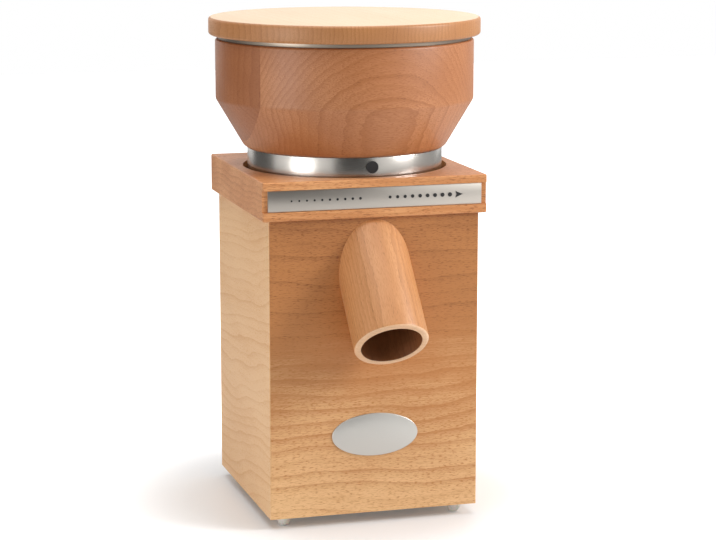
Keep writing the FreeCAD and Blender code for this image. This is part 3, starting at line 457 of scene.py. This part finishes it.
def metal(name, colour, rough, depth=0.12, bump_mm=0.01):
    """A brushed or cast metal. The depth is how much its roughness varies."""
    material, tree, shader = new_material(name)
    group = place_group(tree, brushing, own_position(tree), roughness=rough, depth=depth)
    tree.links.new(group.outputs["Roughness"], shader.inputs["Roughness"])
    add_relief(tree, shader, group.outputs["Height"], METAL_RELIEF, bump_mm * MM)
    shader.inputs["Base Color"].default_value = linear(*colour)
    shader.inputs["Metallic"].default_value = 1.0
    return material


ring_steel = metal("ring_steel", (192, 187, 180), 0.25, depth=0.04, bump_mm=0.001)
plate_steel = metal("plate_steel", (196, 189, 180), 0.34, depth=0.05)
badge_steel = metal("badge_steel", (206, 203, 197), 0.30, depth=0.05)
band_steel = metal("band_steel", (158, 146, 132), 0.38)
machined_steel = metal("machined_steel", (176, 176, 178), 0.3)
cast_metal = metal("cast_metal", (190, 192, 194), 0.46, depth=0.3, bump_mm=0.05)
zinc = metal("zinc", (186, 184, 172), 0.35)
iron_sheet = metal("iron_sheet", (120, 122, 126), 0.45)
copper = metal("copper", (176, 96, 52), 0.35)

# %% [markdown]
# ## Plastic, rubber, felt and stone
# These are soft, even finishes, but none of them is one flat colour. One fine noise serves them
# all: it breaks up the gloss of the plastic and shows as grains of grit in the stone. The rubber
# also lets some light in.

# %% The speckle group
GRAIN_STARTS, GRAIN_FULL = 0.4, 0.65


def build_speckle():
    """An even tone broken by grains: a mask of grains and a height."""
    tree, inputs, outputs = new_group("speckle", {"Grains Per Metre": 2000.0},
                                      ("Mask", "Height"))
    noise = tree.nodes.new("ShaderNodeTexNoise")
    noise.inputs["Detail"].default_value = 3.0
    tree.links.new(inputs["Vector"], noise.inputs["Vector"])
    tree.links.new(inputs["Grains Per Metre"], noise.inputs["Scale"])
    mask = smooth_step(tree, noise.outputs["Fac"], GRAIN_STARTS, GRAIN_FULL)
    tree.links.new(mask, outputs["Mask"])
    tree.links.new(noise.outputs["Fac"], outputs["Height"])
    return tree


speckle = build_speckle()

# %% [markdown]
# Each speckled finish has two colours that lie close together, one for its ground and one for
# its grains. The stone and the felt have the strongest relief, and the dot and the marks on the
# scale have almost none.

# %% The speckled finishes
SPECKLE_RELIEF = 0.4
GRAIN_ROUGHNESS = 0.12


def speckled(name, ground, grain, rough, grains=2000.0, bump_mm=0.05, **shader_values):
    """A finish of two close colours, with so many grains per metre."""
    material, tree, shader = new_material(name)
    group = place_group(tree, speckle, own_position(tree), grains_per_metre=grains)
    mix = tree.nodes.new("ShaderNodeMix")
    mix.data_type = "RGBA"
    mix.inputs["A"].default_value = linear(*ground)
    mix.inputs["B"].default_value = linear(*grain)
    tree.links.new(group.outputs["Mask"], mix.inputs["Factor"])
    tree.links.new(mix.outputs["Result"], shader.inputs["Base Color"])
    rough_here = math_node(tree, "MULTIPLY_ADD", group.outputs["Mask"], GRAIN_ROUGHNESS, rough)
    tree.links.new(rough_here, shader.inputs["Roughness"])
    add_relief(tree, shader, group.outputs["Height"], SPECKLE_RELIEF, bump_mm * MM)
    set_values(shader, shader_values)
    return material


black_plastic = speckled("black_plastic", (30, 30, 32), (38, 38, 40), 0.38, 3000.0)
dot_black = speckled("dot_black", (34, 32, 32), (26, 25, 25), 0.32, 3000.0, 0.01)
ink_black = speckled("ink_black", (22, 21, 21), (34, 33, 33), 0.5, 5000.0, 0.01)
pale_plastic = speckled("pale_plastic", (214, 212, 200), (204, 201, 188), 0.42)
clear_rubber = speckled("clear_rubber", (236, 236, 232), (224, 224, 220), 0.3, 900.0,
                        subsurface_weight=0.25, subsurface_scale=3 * MM)
wool_felt = speckled("wool_felt", (198, 192, 178), (170, 163, 150), 0.95, 1500.0, 0.2)
grit_stone = speckled("grit_stone", (214, 212, 204), (176, 173, 166), 0.9, 900.0, 0.3)

# %% [markdown]
# ## Dress the CAD parts
# A part whose shape is already right keeps its mesh, and only gets a finish. A part that a new
# piece stands for is not in this list.

# %% Give each CAD part its finish
FINISHES = {
    case_front: ("front_panel", "back_panel"),
    case_side: ("left_panel", "right_panel"),
    collar_wood: ("collar",),
    plywood: ("base_plate", "base_cleats"),
    zinc: ("base_screws", "chamber_screws", "motor_screws", "tie_bolts", "hopper_screws"),
    cast_metal: ("milling_chamber", "upper_end_shield", "lower_end_shield", "stone_hub",
                 "motor_capacitor"),
    iron_sheet: ("stator_core", "rotor_core"),
    copper: ("stator_windings",),
    machined_steel: ("motor_shaft", "upper_bearing", "lower_bearing", "cap_nut",
                     "carrier_springs", "capacitor_clip"),
    black_plastic: ("cooling_fan", "hopper_base", "switch_body", "switch_rocker",
                    "cable_gland", "gland_nut"),
    pale_plastic: ("stone_carrier", "terminal_block"),
    grit_stone: ("lower_stone", "upper_stone"),
    wool_felt: ("shaft_seal",),
}
for finish, names in FINISHES.items():
    for name in names:
        mesh = nodes[name].data
        mesh.materials.clear()
        mesh.materials.append(finish)
print("dressed:", sum(len(names) for names in FINISHES.values()))

# %% [markdown]
# ## Turned pieces
# The bowl, the lid, the ring, the band, the spout and the feet come off a lathe or look as if
# they did. A cylinder could be pushed and pulled into each of them. It is closer to the real
# work to draw half an outline of a few corners and spin it about the axis, and then to bevel the
# sharp rims, as a turner breaks an edge with sandpaper.

# %% Spin an outline and round its rims
SPIN_STEPS = 160
SAME_PLACE = 0.001 * MM
ON_RIM = 0.02 * MM


def spun(outline, closed=True, steps=SPIN_STEPS):
    """A mesh spun about Z from corners of (radius, level)."""
    bm = bmesh.new()
    corners = [bm.verts.new((radius, 0, level)) for radius, level in outline]
    pairs = list(zip(corners, corners[1:]))
    if closed:
        pairs.append((corners[-1], corners[0]))
    for first, last in pairs:
        bm.edges.new((first, last))
    bmesh.ops.spin(bm, geom=bm.verts[:] + bm.edges[:], cent=(0, 0, 0), axis=(0, 0, 1),
                   angle=math.tau, steps=steps, use_merge=True)
    bmesh.ops.remove_doubles(bm, verts=bm.verts[:], dist=SAME_PLACE)
    bmesh.ops.recalc_face_normals(bm, faces=bm.faces[:])
    return bm


def round_rims(bm, rims, steps=4):
    """Bevel whole circles of edges, each given as (radius, level, width)."""
    for radius, level, width in rims:
        rim = [edge for edge in bm.edges
               if all(abs(v.co.z - level) < ON_RIM
                      and abs(v.co.to_2d().length - radius) < ON_RIM for v in edge.verts)]
        bmesh.ops.bevel(bm, geom=rim, offset=width, offset_type="OFFSET", segments=steps,
                        profile=0.5, affect="EDGES", material=-1, clamp_overlap=True)


print("steps round a spun piece:", SPIN_STEPS)

# %% [markdown]
# Every new piece is finished in the same way. Its mesh is shaded smooth but for its sharp edges,
# it gets its material, it rides on a body of the CAD model, and the CAD part that it stands for,
# if it stands for one, is hidden. Some pieces then get a second finish on a part of their faces.

# %% Finish a piece
SHARP_ANGLE = math.radians(35)


def finish_piece(bm, name, material, body, replaces=()):
    """Turn a bmesh into a piece that rides on a body."""
    mesh = bpy.data.meshes.new(name)
    bm.to_mesh(mesh)
    bm.free()
    mesh.shade_smooth()
    mesh.set_sharp_from_angle(angle=SHARP_ANGLE)
    piece = bpy.data.objects.new(name, mesh)
    bpy.context.scene.collection.objects.link(piece)
    mesh.materials.append(material)
    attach(piece, body)
    if replaces:
        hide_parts(*replaces)
    print(name, len(mesh.polygons), "faces")
    return piece


def refinish(piece, material, picked):
    """Give another finish to the faces that a test picks."""
    materials = piece.data.materials
    materials.append(material)
    faces = [face for face in piece.data.polygons if picked(face)]
    for face in faces:
        face.material_index = len(materials) - 1
    print(piece.name, "has", len(faces), "faces in", material.name)


def everything(bm):
    """All points, edges and faces, as the operators that cut and mirror take them."""
    return bm.verts[:] + bm.edges[:] + bm.faces[:]


print("edges stay sharp from", round(math.degrees(SHARP_ANGLE)), "degrees on")

# %% [markdown]
# The bowl has a plain outside, a cone under a straight wall, and a rounded inside that lets
# the grain run down to the throat. It is turned from boards glued side by side, so the plane of
# one glue line is cut through the mesh, and the darker board beyond it gets its own finish.

# %% Hopper bowl
bowl_low, bowl_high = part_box("hopper_bowl")
bowl_foot, bowl_top = bowl_low[2], bowl_high[2]
bowl_radius = bowl_high[0]
inner = bowl_radius - 9.5 * MM
throat = 20 * MM
cone_foot = 66.7 * MM
cone_top = bowl_foot + 32.5 * MM
wall_foot = cone_top + 11 * MM
shoulder, shoulder_level = inner - 6 * MM, cone_top - 1 * MM
funnel_end, funnel_level = throat + 3 * MM, bowl_foot + 6 * MM
bowl = spun([(throat, bowl_foot), (cone_foot, bowl_foot), (bowl_radius, cone_top),
             (bowl_radius, bowl_top), (inner, bowl_top), (inner, wall_foot),
             (shoulder, shoulder_level), (funnel_end, funnel_level),
             (throat, bowl_foot + 2 * MM)])
round_rims(bowl, [(cone_foot, bowl_foot, 3 * MM), (bowl_radius, bowl_top, 1.5 * MM),
                  (inner, bowl_top, 1.2 * MM), (bowl_radius, cone_top, 1.2 * MM),
                  (inner, wall_foot, 5 * MM), (shoulder, shoulder_level, 5 * MM),
                  (funnel_end, funnel_level, 2 * MM)])
glue_line = -70 * MM
bmesh.ops.bisect_plane(bowl, geom=everything(bowl), plane_co=(glue_line, 0, 0),
                       plane_no=(1, 0, 0))
turned_bowl = finish_piece(bowl, "turned_bowl", hopper_wood, "hopper",
                           ["hopper_bowl"])
refinish(turned_bowl, hopper_stave, lambda face: face.center.x < glue_line)
print("bowl radius in mm:", round(bowl_radius / MM, 2))

# %% [markdown]
# The lid is a flat disc with a spigot that centres it in the bowl. Its rims are rounded more
# than the rim of the bowl, because hands hold it there. A strip of steel lies under its edge.
# The pale top is a second finish on the faces that look up, and it is partly painted light from
# the overhead lamp.

# %% Lid and band
lid_low, lid_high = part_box("lid")
band_low, band_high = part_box("lid_band")
lid_radius, lid_top = lid_high[0], lid_high[2]
lid_under, spigot_foot = band_high[2], lid_low[2]
spigot = inner - 1 * MM
lid_rounding = 2 * MM
LOOKS_UP = 0.95
lid = spun([(0, spigot_foot), (spigot, spigot_foot), (spigot, lid_under),
            (lid_radius, lid_under), (lid_radius, lid_top), (0, lid_top)], closed=False)
round_rims(lid, [(lid_radius, lid_under, lid_rounding), (lid_radius, lid_top, lid_rounding),
                 (spigot, spigot_foot, 1 * MM)])
turned_lid = finish_piece(lid, "turned_lid", lid_wood, "lid", ["lid"])
refinish(turned_lid, lid_top_grain_and_painted_light, lambda face: face.normal.z > LOOKS_UP)
band_radius, band_foot = band_high[0], band_low[2]
band = spun([(spigot, band_foot), (band_radius, band_foot),
             (band_radius, lid_under), (spigot, lid_under)])
round_rims(band, [(band_radius, band_foot, 0.4 * MM)], steps=2)
finish_piece(band, "steel_band", band_steel, "lid", ["lid_band"])
print("lid radius in mm:", round(lid_radius / MM, 2))

# %% [markdown]
# The ring is a rolled strip of steel with a black dot set into it. It is spun like the other
# pieces, from a small rectangle, and its edges are only just broken, as steel's are.

# %% Steel ring
ring_low, ring_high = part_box("hopper_ring")
ring_radius = ring_high[0]
ring_foot, ring_top = ring_low[2], ring_high[2]
ring_inside = ring_radius - 2.2 * MM
ring = spun([(ring_inside, ring_foot), (ring_radius, ring_foot),
             (ring_radius, ring_top), (ring_inside, ring_top)])
round_rims(ring, [(ring_radius, ring_top, 0.3 * MM), (ring_radius, ring_foot, 0.5 * MM)],
           steps=2)
finish_piece(ring, "steel_ring", ring_steel, "hopper", ["hopper_ring"])

# %% [markdown]
# The dot follows the curve of the ring, and stands a hair proud of it. A flat disc would cut into
# the ring at its sides, so a disc gets a few more points by an inset, its points are pushed out
# to the ring's radius, and the bent disc is given a thickness.

# %% The dot on the ring
DOT_SEGMENTS = 48
DOT_INSET = 0.35
dot_proud = 0.15 * MM
dot_thickness = 0.6 * MM


def face_front(bm, verts):
    """Tip points about X, so that what faced up faces the front."""
    bmesh.ops.rotate(bm, verts=verts, cent=(0, 0, 0), matrix=Matrix.Rotation(quarter, 3, "X"))


def bent_disc(radius, level, at_radius, thickness):
    """A disc on the front, bent round the mill's axis and given a thickness."""
    bm = bmesh.new()
    bmesh.ops.create_circle(bm, cap_ends=True, radius=radius, segments=DOT_SEGMENTS)
    bmesh.ops.inset_region(bm, faces=bm.faces[:], thickness=radius * DOT_INSET, depth=0)
    face_front(bm, bm.verts[:])
    bmesh.ops.translate(bm, verts=bm.verts[:], vec=(0, 0, level))
    for vert in bm.verts:
        vert.co.y = -math.sqrt(at_radius ** 2 - vert.co.x ** 2)
    bmesh.ops.recalc_face_normals(bm, faces=bm.faces[:])
    bmesh.ops.solidify(bm, geom=bm.faces[:], thickness=thickness)
    bmesh.ops.recalc_face_normals(bm, faces=bm.faces[:])
    return bm


dot_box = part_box("pointer_dot")
dot = bent_disc(size_of(dot_box)[0] / 2, middle_of(dot_box)[2], ring_radius + dot_proud,
                dot_thickness)
finish_piece(dot, "ring_dot", dot_black, "hopper", ["pointer_dot"])

# %% [markdown]
# The spout is a turned tube whose back end is cut on the slope and glued flat to the front
# panel. It is spun upright, tipped into place, cut by the plane of the panel, and the cut is
# closed again between its outer and inner edge.

# %% Spout
SPOUT_STEPS = 96
spout_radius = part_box("outlet_spout")[1][0]
spout_bore = 19.8 * MM
spout_length = 55.2 * MM
spout_back = -40 * MM
spout_drop = 36.7 * MM
spout_root = Vector((0, front_y, case_high[2] - spout_drop))
spout_turn = Matrix.Rotation(quarter + spout_slope, 4, "X")
spout = spun([(spout_bore, spout_back), (spout_radius, spout_back),
              (spout_radius, spout_length), (spout_bore, spout_length)], steps=SPOUT_STEPS)
round_rims(spout, [(spout_radius, spout_length, 2 * MM), (spout_bore, spout_length, 1 * MM)])
bmesh.ops.transform(spout, verts=spout.verts[:],
                    matrix=Matrix.Translation(spout_root) @ spout_turn)
bmesh.ops.bisect_plane(spout, geom=everything(spout), plane_co=(0, front_y, 0),
                       plane_no=(0, 1, 0), clear_outer=True)
bmesh.ops.bridge_loops(spout, edges=[edge for edge in spout.edges if edge.is_boundary])
bmesh.ops.recalc_face_normals(spout, faces=spout.faces[:])
turned_spout = finish_piece(spout, "turned_spout", spout_wood, "housing",
                            ["outlet_spout"])

# %% [markdown]
# The lip and the bore are told apart by where their faces look: the lip looks out along the
# axis of the spout, and the bore looks towards that axis.

# %% Lip and bore of the spout
LOOKS_OUT = 0.3
spout_axis = spout_turn.to_3x3() @ Vector((0, 0, 1))


def on_lip(face):
    return face.normal.dot(spout_axis) > LOOKS_OUT


def in_bore(face):
    from_root = face.center - spout_root
    outward = from_root - from_root.project(spout_axis)
    return not on_lip(face) and face.normal.dot(outward) < 0


refinish(turned_spout, spout_lip_wood, on_lip)
# The faces of the bore get their painted shade
refinish(turned_spout, spout_bore_painted_shade, in_bore)

# %% [markdown]
# ## Plates
# The long scale plate lies in its groove in the collar. It is a sheared strip, so a cube is
# scaled to its size, and all its edges get a fine bevel that catches the light.

# %% Scale plate
plate_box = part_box("scale_plate")
plate_face = plate_box[0][1]
plate_middle = middle_of(plate_box)
plate = bmesh.new()
bmesh.ops.create_cube(plate, size=1.0)
bmesh.ops.scale(plate, verts=plate.verts[:], vec=size_of(plate_box))
bmesh.ops.translate(plate, verts=plate.verts[:], vec=plate_middle)
bmesh.ops.bevel(plate, geom=plate.edges[:], offset=0.25 * MM, segments=2, profile=0.5,
                affect="EDGES", material=-1)
finish_piece(plate, "steel_scale", plate_steel, "housing", ["scale_plate"])

# %% [markdown]
# The marks are printed on the plate: two rows of dots that grow from fine to coarse, and an
# arrow at the end. Ink is thin, but a layer with no thickness would flicker against the steel,
# so the marks are flat shapes a tenth of a millimetre thick.

# %% Marks on the scale
MARK_SEGMENTS = 20
mark_thickness = 0.1 * MM
mark_pitch = 5.06 * MM
mark_y = plate_face - mark_thickness
mark_level = plate_middle[2]
# Where each row starts, how many dots it has, its first radius and the growth from dot to dot
DOT_ROWS = ((-56 * MM, 10, 0.60 * MM, 0.035 * MM), (9.4 * MM, 9, 0.98 * MM, 0.055 * MM))
marks = bmesh.new()
for start, count, first_radius, growth in DOT_ROWS:
    for step in range(count):
        disc = bmesh.ops.create_circle(marks, cap_ends=True, segments=MARK_SEGMENTS,
                                       radius=first_radius + growth * step)["verts"]
        face_front(marks, disc)
        bmesh.ops.translate(marks, verts=disc,
                            vec=(start + step * mark_pitch, mark_y, mark_level))
arrow_tail, arrow_tip, arrow_half = 53.6 * MM, 58.6 * MM, 2.1 * MM
arrow_notch = arrow_tail + 0.8 * MM
upper, tip, lower, notch = [marks.verts.new((x, mark_y, mark_level + z)) for x, z in (
    (arrow_tail, arrow_half), (arrow_tip, 0), (arrow_tail, -arrow_half), (arrow_notch, 0))]
marks.faces.new((upper, tip, notch))
marks.faces.new((notch, tip, lower))
bmesh.ops.recalc_face_normals(marks, faces=marks.faces[:])
for face in marks.faces:
    if face.normal.y > 0:
        face.normal_flip()
bmesh.ops.solidify(marks, geom=marks.faces[:], thickness=-mark_thickness)
finish_piece(marks, "scale_marks", ink_black, "housing")

# %% [markdown]
# The oval plate is stamped, which leaves its front rim softly rounded. A short round bar is
# faced to the front and scaled to the box of the CAD part, which makes it oval, and its front
# rim is bevelled.

# %% Oval plate
OVAL_SEGMENTS = 96
badge_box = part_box("badge_plate")
badge_face = badge_box[0][1]
badge = bmesh.new()
bmesh.ops.create_cone(badge, cap_ends=True, radius1=1, radius2=1, depth=2,
                      segments=OVAL_SEGMENTS)
face_front(badge, badge.verts[:])
bmesh.ops.scale(badge, verts=badge.verts[:], vec=[length / 2 for length in size_of(badge_box)])
bmesh.ops.translate(badge, verts=badge.verts[:], vec=middle_of(badge_box))
badge_rim = [edge for edge in badge.edges
             if all(abs(v.co.y - badge_face) < SAME_PLACE for v in edge.verts)]
bmesh.ops.bevel(badge, geom=badge_rim, offset=0.35 * MM, segments=3, profile=0.5,
                affect="EDGES", material=-1)
finish_piece(badge, "oval_plate", badge_steel, "housing", ["badge_plate"])

# %% [markdown]
# ## Feet
# The feet are domed bumpers of clear rubber. One is spun, moved to its corner and mirrored
# twice, so that all four are alike.

# %% Feet
FOOT_STEPS = 40
feet_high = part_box("rubber_feet")[1]
foot_top = feet_high[2]
foot_radius = 4.65 * MM
foot_sole = 3.1 * MM
foot_shoulder = 3.6 * MM
foot_rounding = 1.2 * MM
feet = spun([(0, 0), (foot_sole, 0), (foot_radius, foot_shoulder), (foot_radius, foot_top),
             (0, foot_top)], closed=False, steps=FOOT_STEPS)
round_rims(feet, [(foot_sole, 0, foot_rounding), (foot_radius, foot_shoulder, foot_rounding)])
bmesh.ops.translate(feet, verts=feet.verts[:],
                    vec=(feet_high[0] - foot_radius, feet_high[1] - foot_radius, 0))
for axis in ("X", "Y"):
    bmesh.ops.mirror(feet, geom=everything(feet), axis=axis, merge_dist=0)
bmesh.ops.recalc_face_normals(feet, faces=feet.faces[:])
finish_piece(feet, "bumper_feet", clear_rubber, "housing", ["rubber_feet"])

# %% [markdown]
# ## Stage
# The floor is a wide pale sheet. Near the mill almost all its light comes from the lamps, so it
# keeps the soft shadow. Further out it glows, for camera rays only, until it is as white as
# the background and its edge can't be seen. More light from the lamps would whiten it too,
# but would bleach the wood as well.

# %% Stage sheets and the floor
FLOOR_SIZE = 6.0
FLOOR_GREY = 0.8
GLOW_STARTS, GLOW_FULL = 0.09, 0.24
GLOW_NEAR, GLOW_FAR = 0.12, 1.0
WHITE = (1, 1, 1, 1)


def stage_sheet(name, width, height, place, material):
    """A flat sheet that isn't part of the mill. It is made level and put in its place."""
    bm = bmesh.new()
    bmesh.ops.create_grid(bm, x_segments=1, y_segments=1, size=0.5)
    bmesh.ops.scale(bm, verts=bm.verts[:], vec=(width, height, 1))
    bmesh.ops.transform(bm, verts=bm.verts[:], matrix=place)
    mesh = bpy.data.meshes.new(name)
    bm.to_mesh(mesh)
    bm.free()
    mesh.materials.append(material)
    sheet = bpy.data.objects.new(name, mesh)
    bpy.context.scene.collection.objects.link(sheet)
    print("stage:", name, width, "by", height, "m")
    return sheet


floor_material, tree, shader = new_material("pale_floor")
shader.inputs["Base Color"].default_value = (FLOOR_GREY, FLOOR_GREY, FLOOR_GREY, 1)
shader.inputs["Roughness"].default_value = 0.5
shader.inputs["Emission Color"].default_value = WHITE
from_mill = tree.nodes.new("ShaderNodeVectorMath")
from_mill.operation = "LENGTH"
tree.links.new(tree.nodes.new("ShaderNodeTexCoord").outputs["Object"], from_mill.inputs[0])
fade = smooth_step(tree, from_mill.outputs["Value"], GLOW_STARTS, GLOW_FULL)
glow = math_node(tree, "MULTIPLY_ADD", fade, GLOW_FAR - GLOW_NEAR, GLOW_NEAR)
path = tree.nodes.new("ShaderNodeLightPath")
glow = math_node(tree, "MULTIPLY", glow, path.outputs["Is Camera Ray"])
tree.links.new(glow, shader.inputs["Emission Strength"])
stage_sheet("floor", FLOOR_SIZE, FLOOR_SIZE, Matrix.Identity(4), floor_material)

# %% [markdown]
# The background is plain white for the camera and for what steel and rubber mirror or let
# through. To the wood it is far dimmer, a weak light from all sides, so that it doesn't wash out
# the shadows that the lamps make.

# %% World
AMBIENT = 0.14
world = bpy.data.worlds.new("studio")
bpy.context.scene.world = world
world.use_nodes = True
tree = world.node_tree
sky = tree.nodes["Background"]
sky.inputs["Color"].default_value = WHITE
path = tree.nodes.new("ShaderNodeLightPath").outputs
seen = math_node(tree, "MAXIMUM", path["Is Camera Ray"], path["Is Transmission Ray"])
seen = math_node(tree, "MAXIMUM", seen, path["Is Glossy Ray"])
strength = math_node(tree, "MULTIPLY_ADD", seen, 1 - AMBIENT, AMBIENT)
tree.links.new(strength, sky.inputs["Strength"])
print("ambient light:", AMBIENT)

# %% [markdown]
# ## Lamps
# Product photographs are lit by large soft boxes, because a large lamp gives soft shadows and
# broad highlights. A wide one hangs overhead, a small one stands to the right of the camera and
# a weak one to the left. All are aimed at the middle of the mill.

# %% Soft boxes
# Name, place, width, height and watts
SOFT_BOXES = (
    ("overhead", (-0.1, 0, 1.6), 1.6, 1.6, 21),
    ("right_box", (1.0, -0.58, 0.72), 0.5, 0.5, 13),
    ("left_box", (-1.3, -0.6, 0.2), 0.6, 0.7, 7),
)
mill_middle = (0, 0, 0.15)


def aimed(place, target):
    """The turn that makes a lamp or a card at a place face a target."""
    return (Vector(target) - Vector(place)).to_track_quat("-Z", "Y")


for name, place, width, height, watts in SOFT_BOXES:
    light = bpy.data.lights.new(name, "AREA")
    light.shape = "RECTANGLE"
    light.size = width
    light.size_y = height
    light.energy = watts
    lamp = bpy.data.objects.new(name, light)
    lamp.location = place
    lamp.rotation_euler = aimed(place, mill_middle).to_euler()
    bpy.context.scene.collection.objects.link(lamp)
    print("lamp:", name, watts, "W")

# %% [markdown]
# Steel looks like steel only when it has something dark to mirror. A photographer stands grey
# cards round the object for that. Here they are seen by mirror rays alone, so they neither
# shade the wood nor show in any picture. A card glows at its own level of grey, so that no lamp
# can change it.

# %% Grey cards for the steel
# Name, place, width, height and level of grey
GREY_CARDS = (
    ("front_card", (-0.1, -1.15, 0.65), 0.95, 1.1, 0.06),
    ("left_card", (-1.0, 0.75, 0.5), 1.0, 1.0, 0.12),
    ("right_card", (1.3, 0.1, 0.5), 1.2, 1.0, 0.5),
)
for name, place, width, height, level in GREY_CARDS:
    material, _, shader = new_material(name)
    shader.inputs["Base Color"].default_value = (0, 0, 0, 1)
    shader.inputs["Specular IOR Level"].default_value = 0.0
    shader.inputs["Emission Color"].default_value = WHITE
    shader.inputs["Emission Strength"].default_value = level
    turn = aimed(place, (0, 0, place[2])).to_matrix().to_4x4()
    card = stage_sheet(name, width, height, Matrix.Translation(place) @ turn, material)
    card.visible_camera = False
    card.visible_diffuse = False
    card.visible_shadow = False
    card.visible_transmission = False

# %% [markdown]
# ## Camera
# The camera stands where the edges of the mill in a picture 716 pixels wide meet the edges of
# the model: to the left of its front, a little above it, and with a long lens.

# %% Camera
photo_width = 716
focal_px = 2292.5
looks_down = math.radians(10.457)
looks_aside = math.radians(16.211)
camera_data = bpy.data.cameras.new("camera")
camera_data.sensor_width = 36.0
camera_data.lens = focal_px * camera_data.sensor_width / photo_width
camera_data.clip_end = 20
camera = bpy.data.objects.new("camera", camera_data)
camera.location = (-0.41705, -1.46667, 0.43801)
camera.rotation_euler = (quarter - looks_down, 0, -looks_aside)
bpy.context.scene.collection.objects.link(camera)
bpy.context.scene.camera = camera
bpy.context.scene.view_settings.view_transform = "Standard"
print("lens in mm:", round(camera_data.lens, 1))
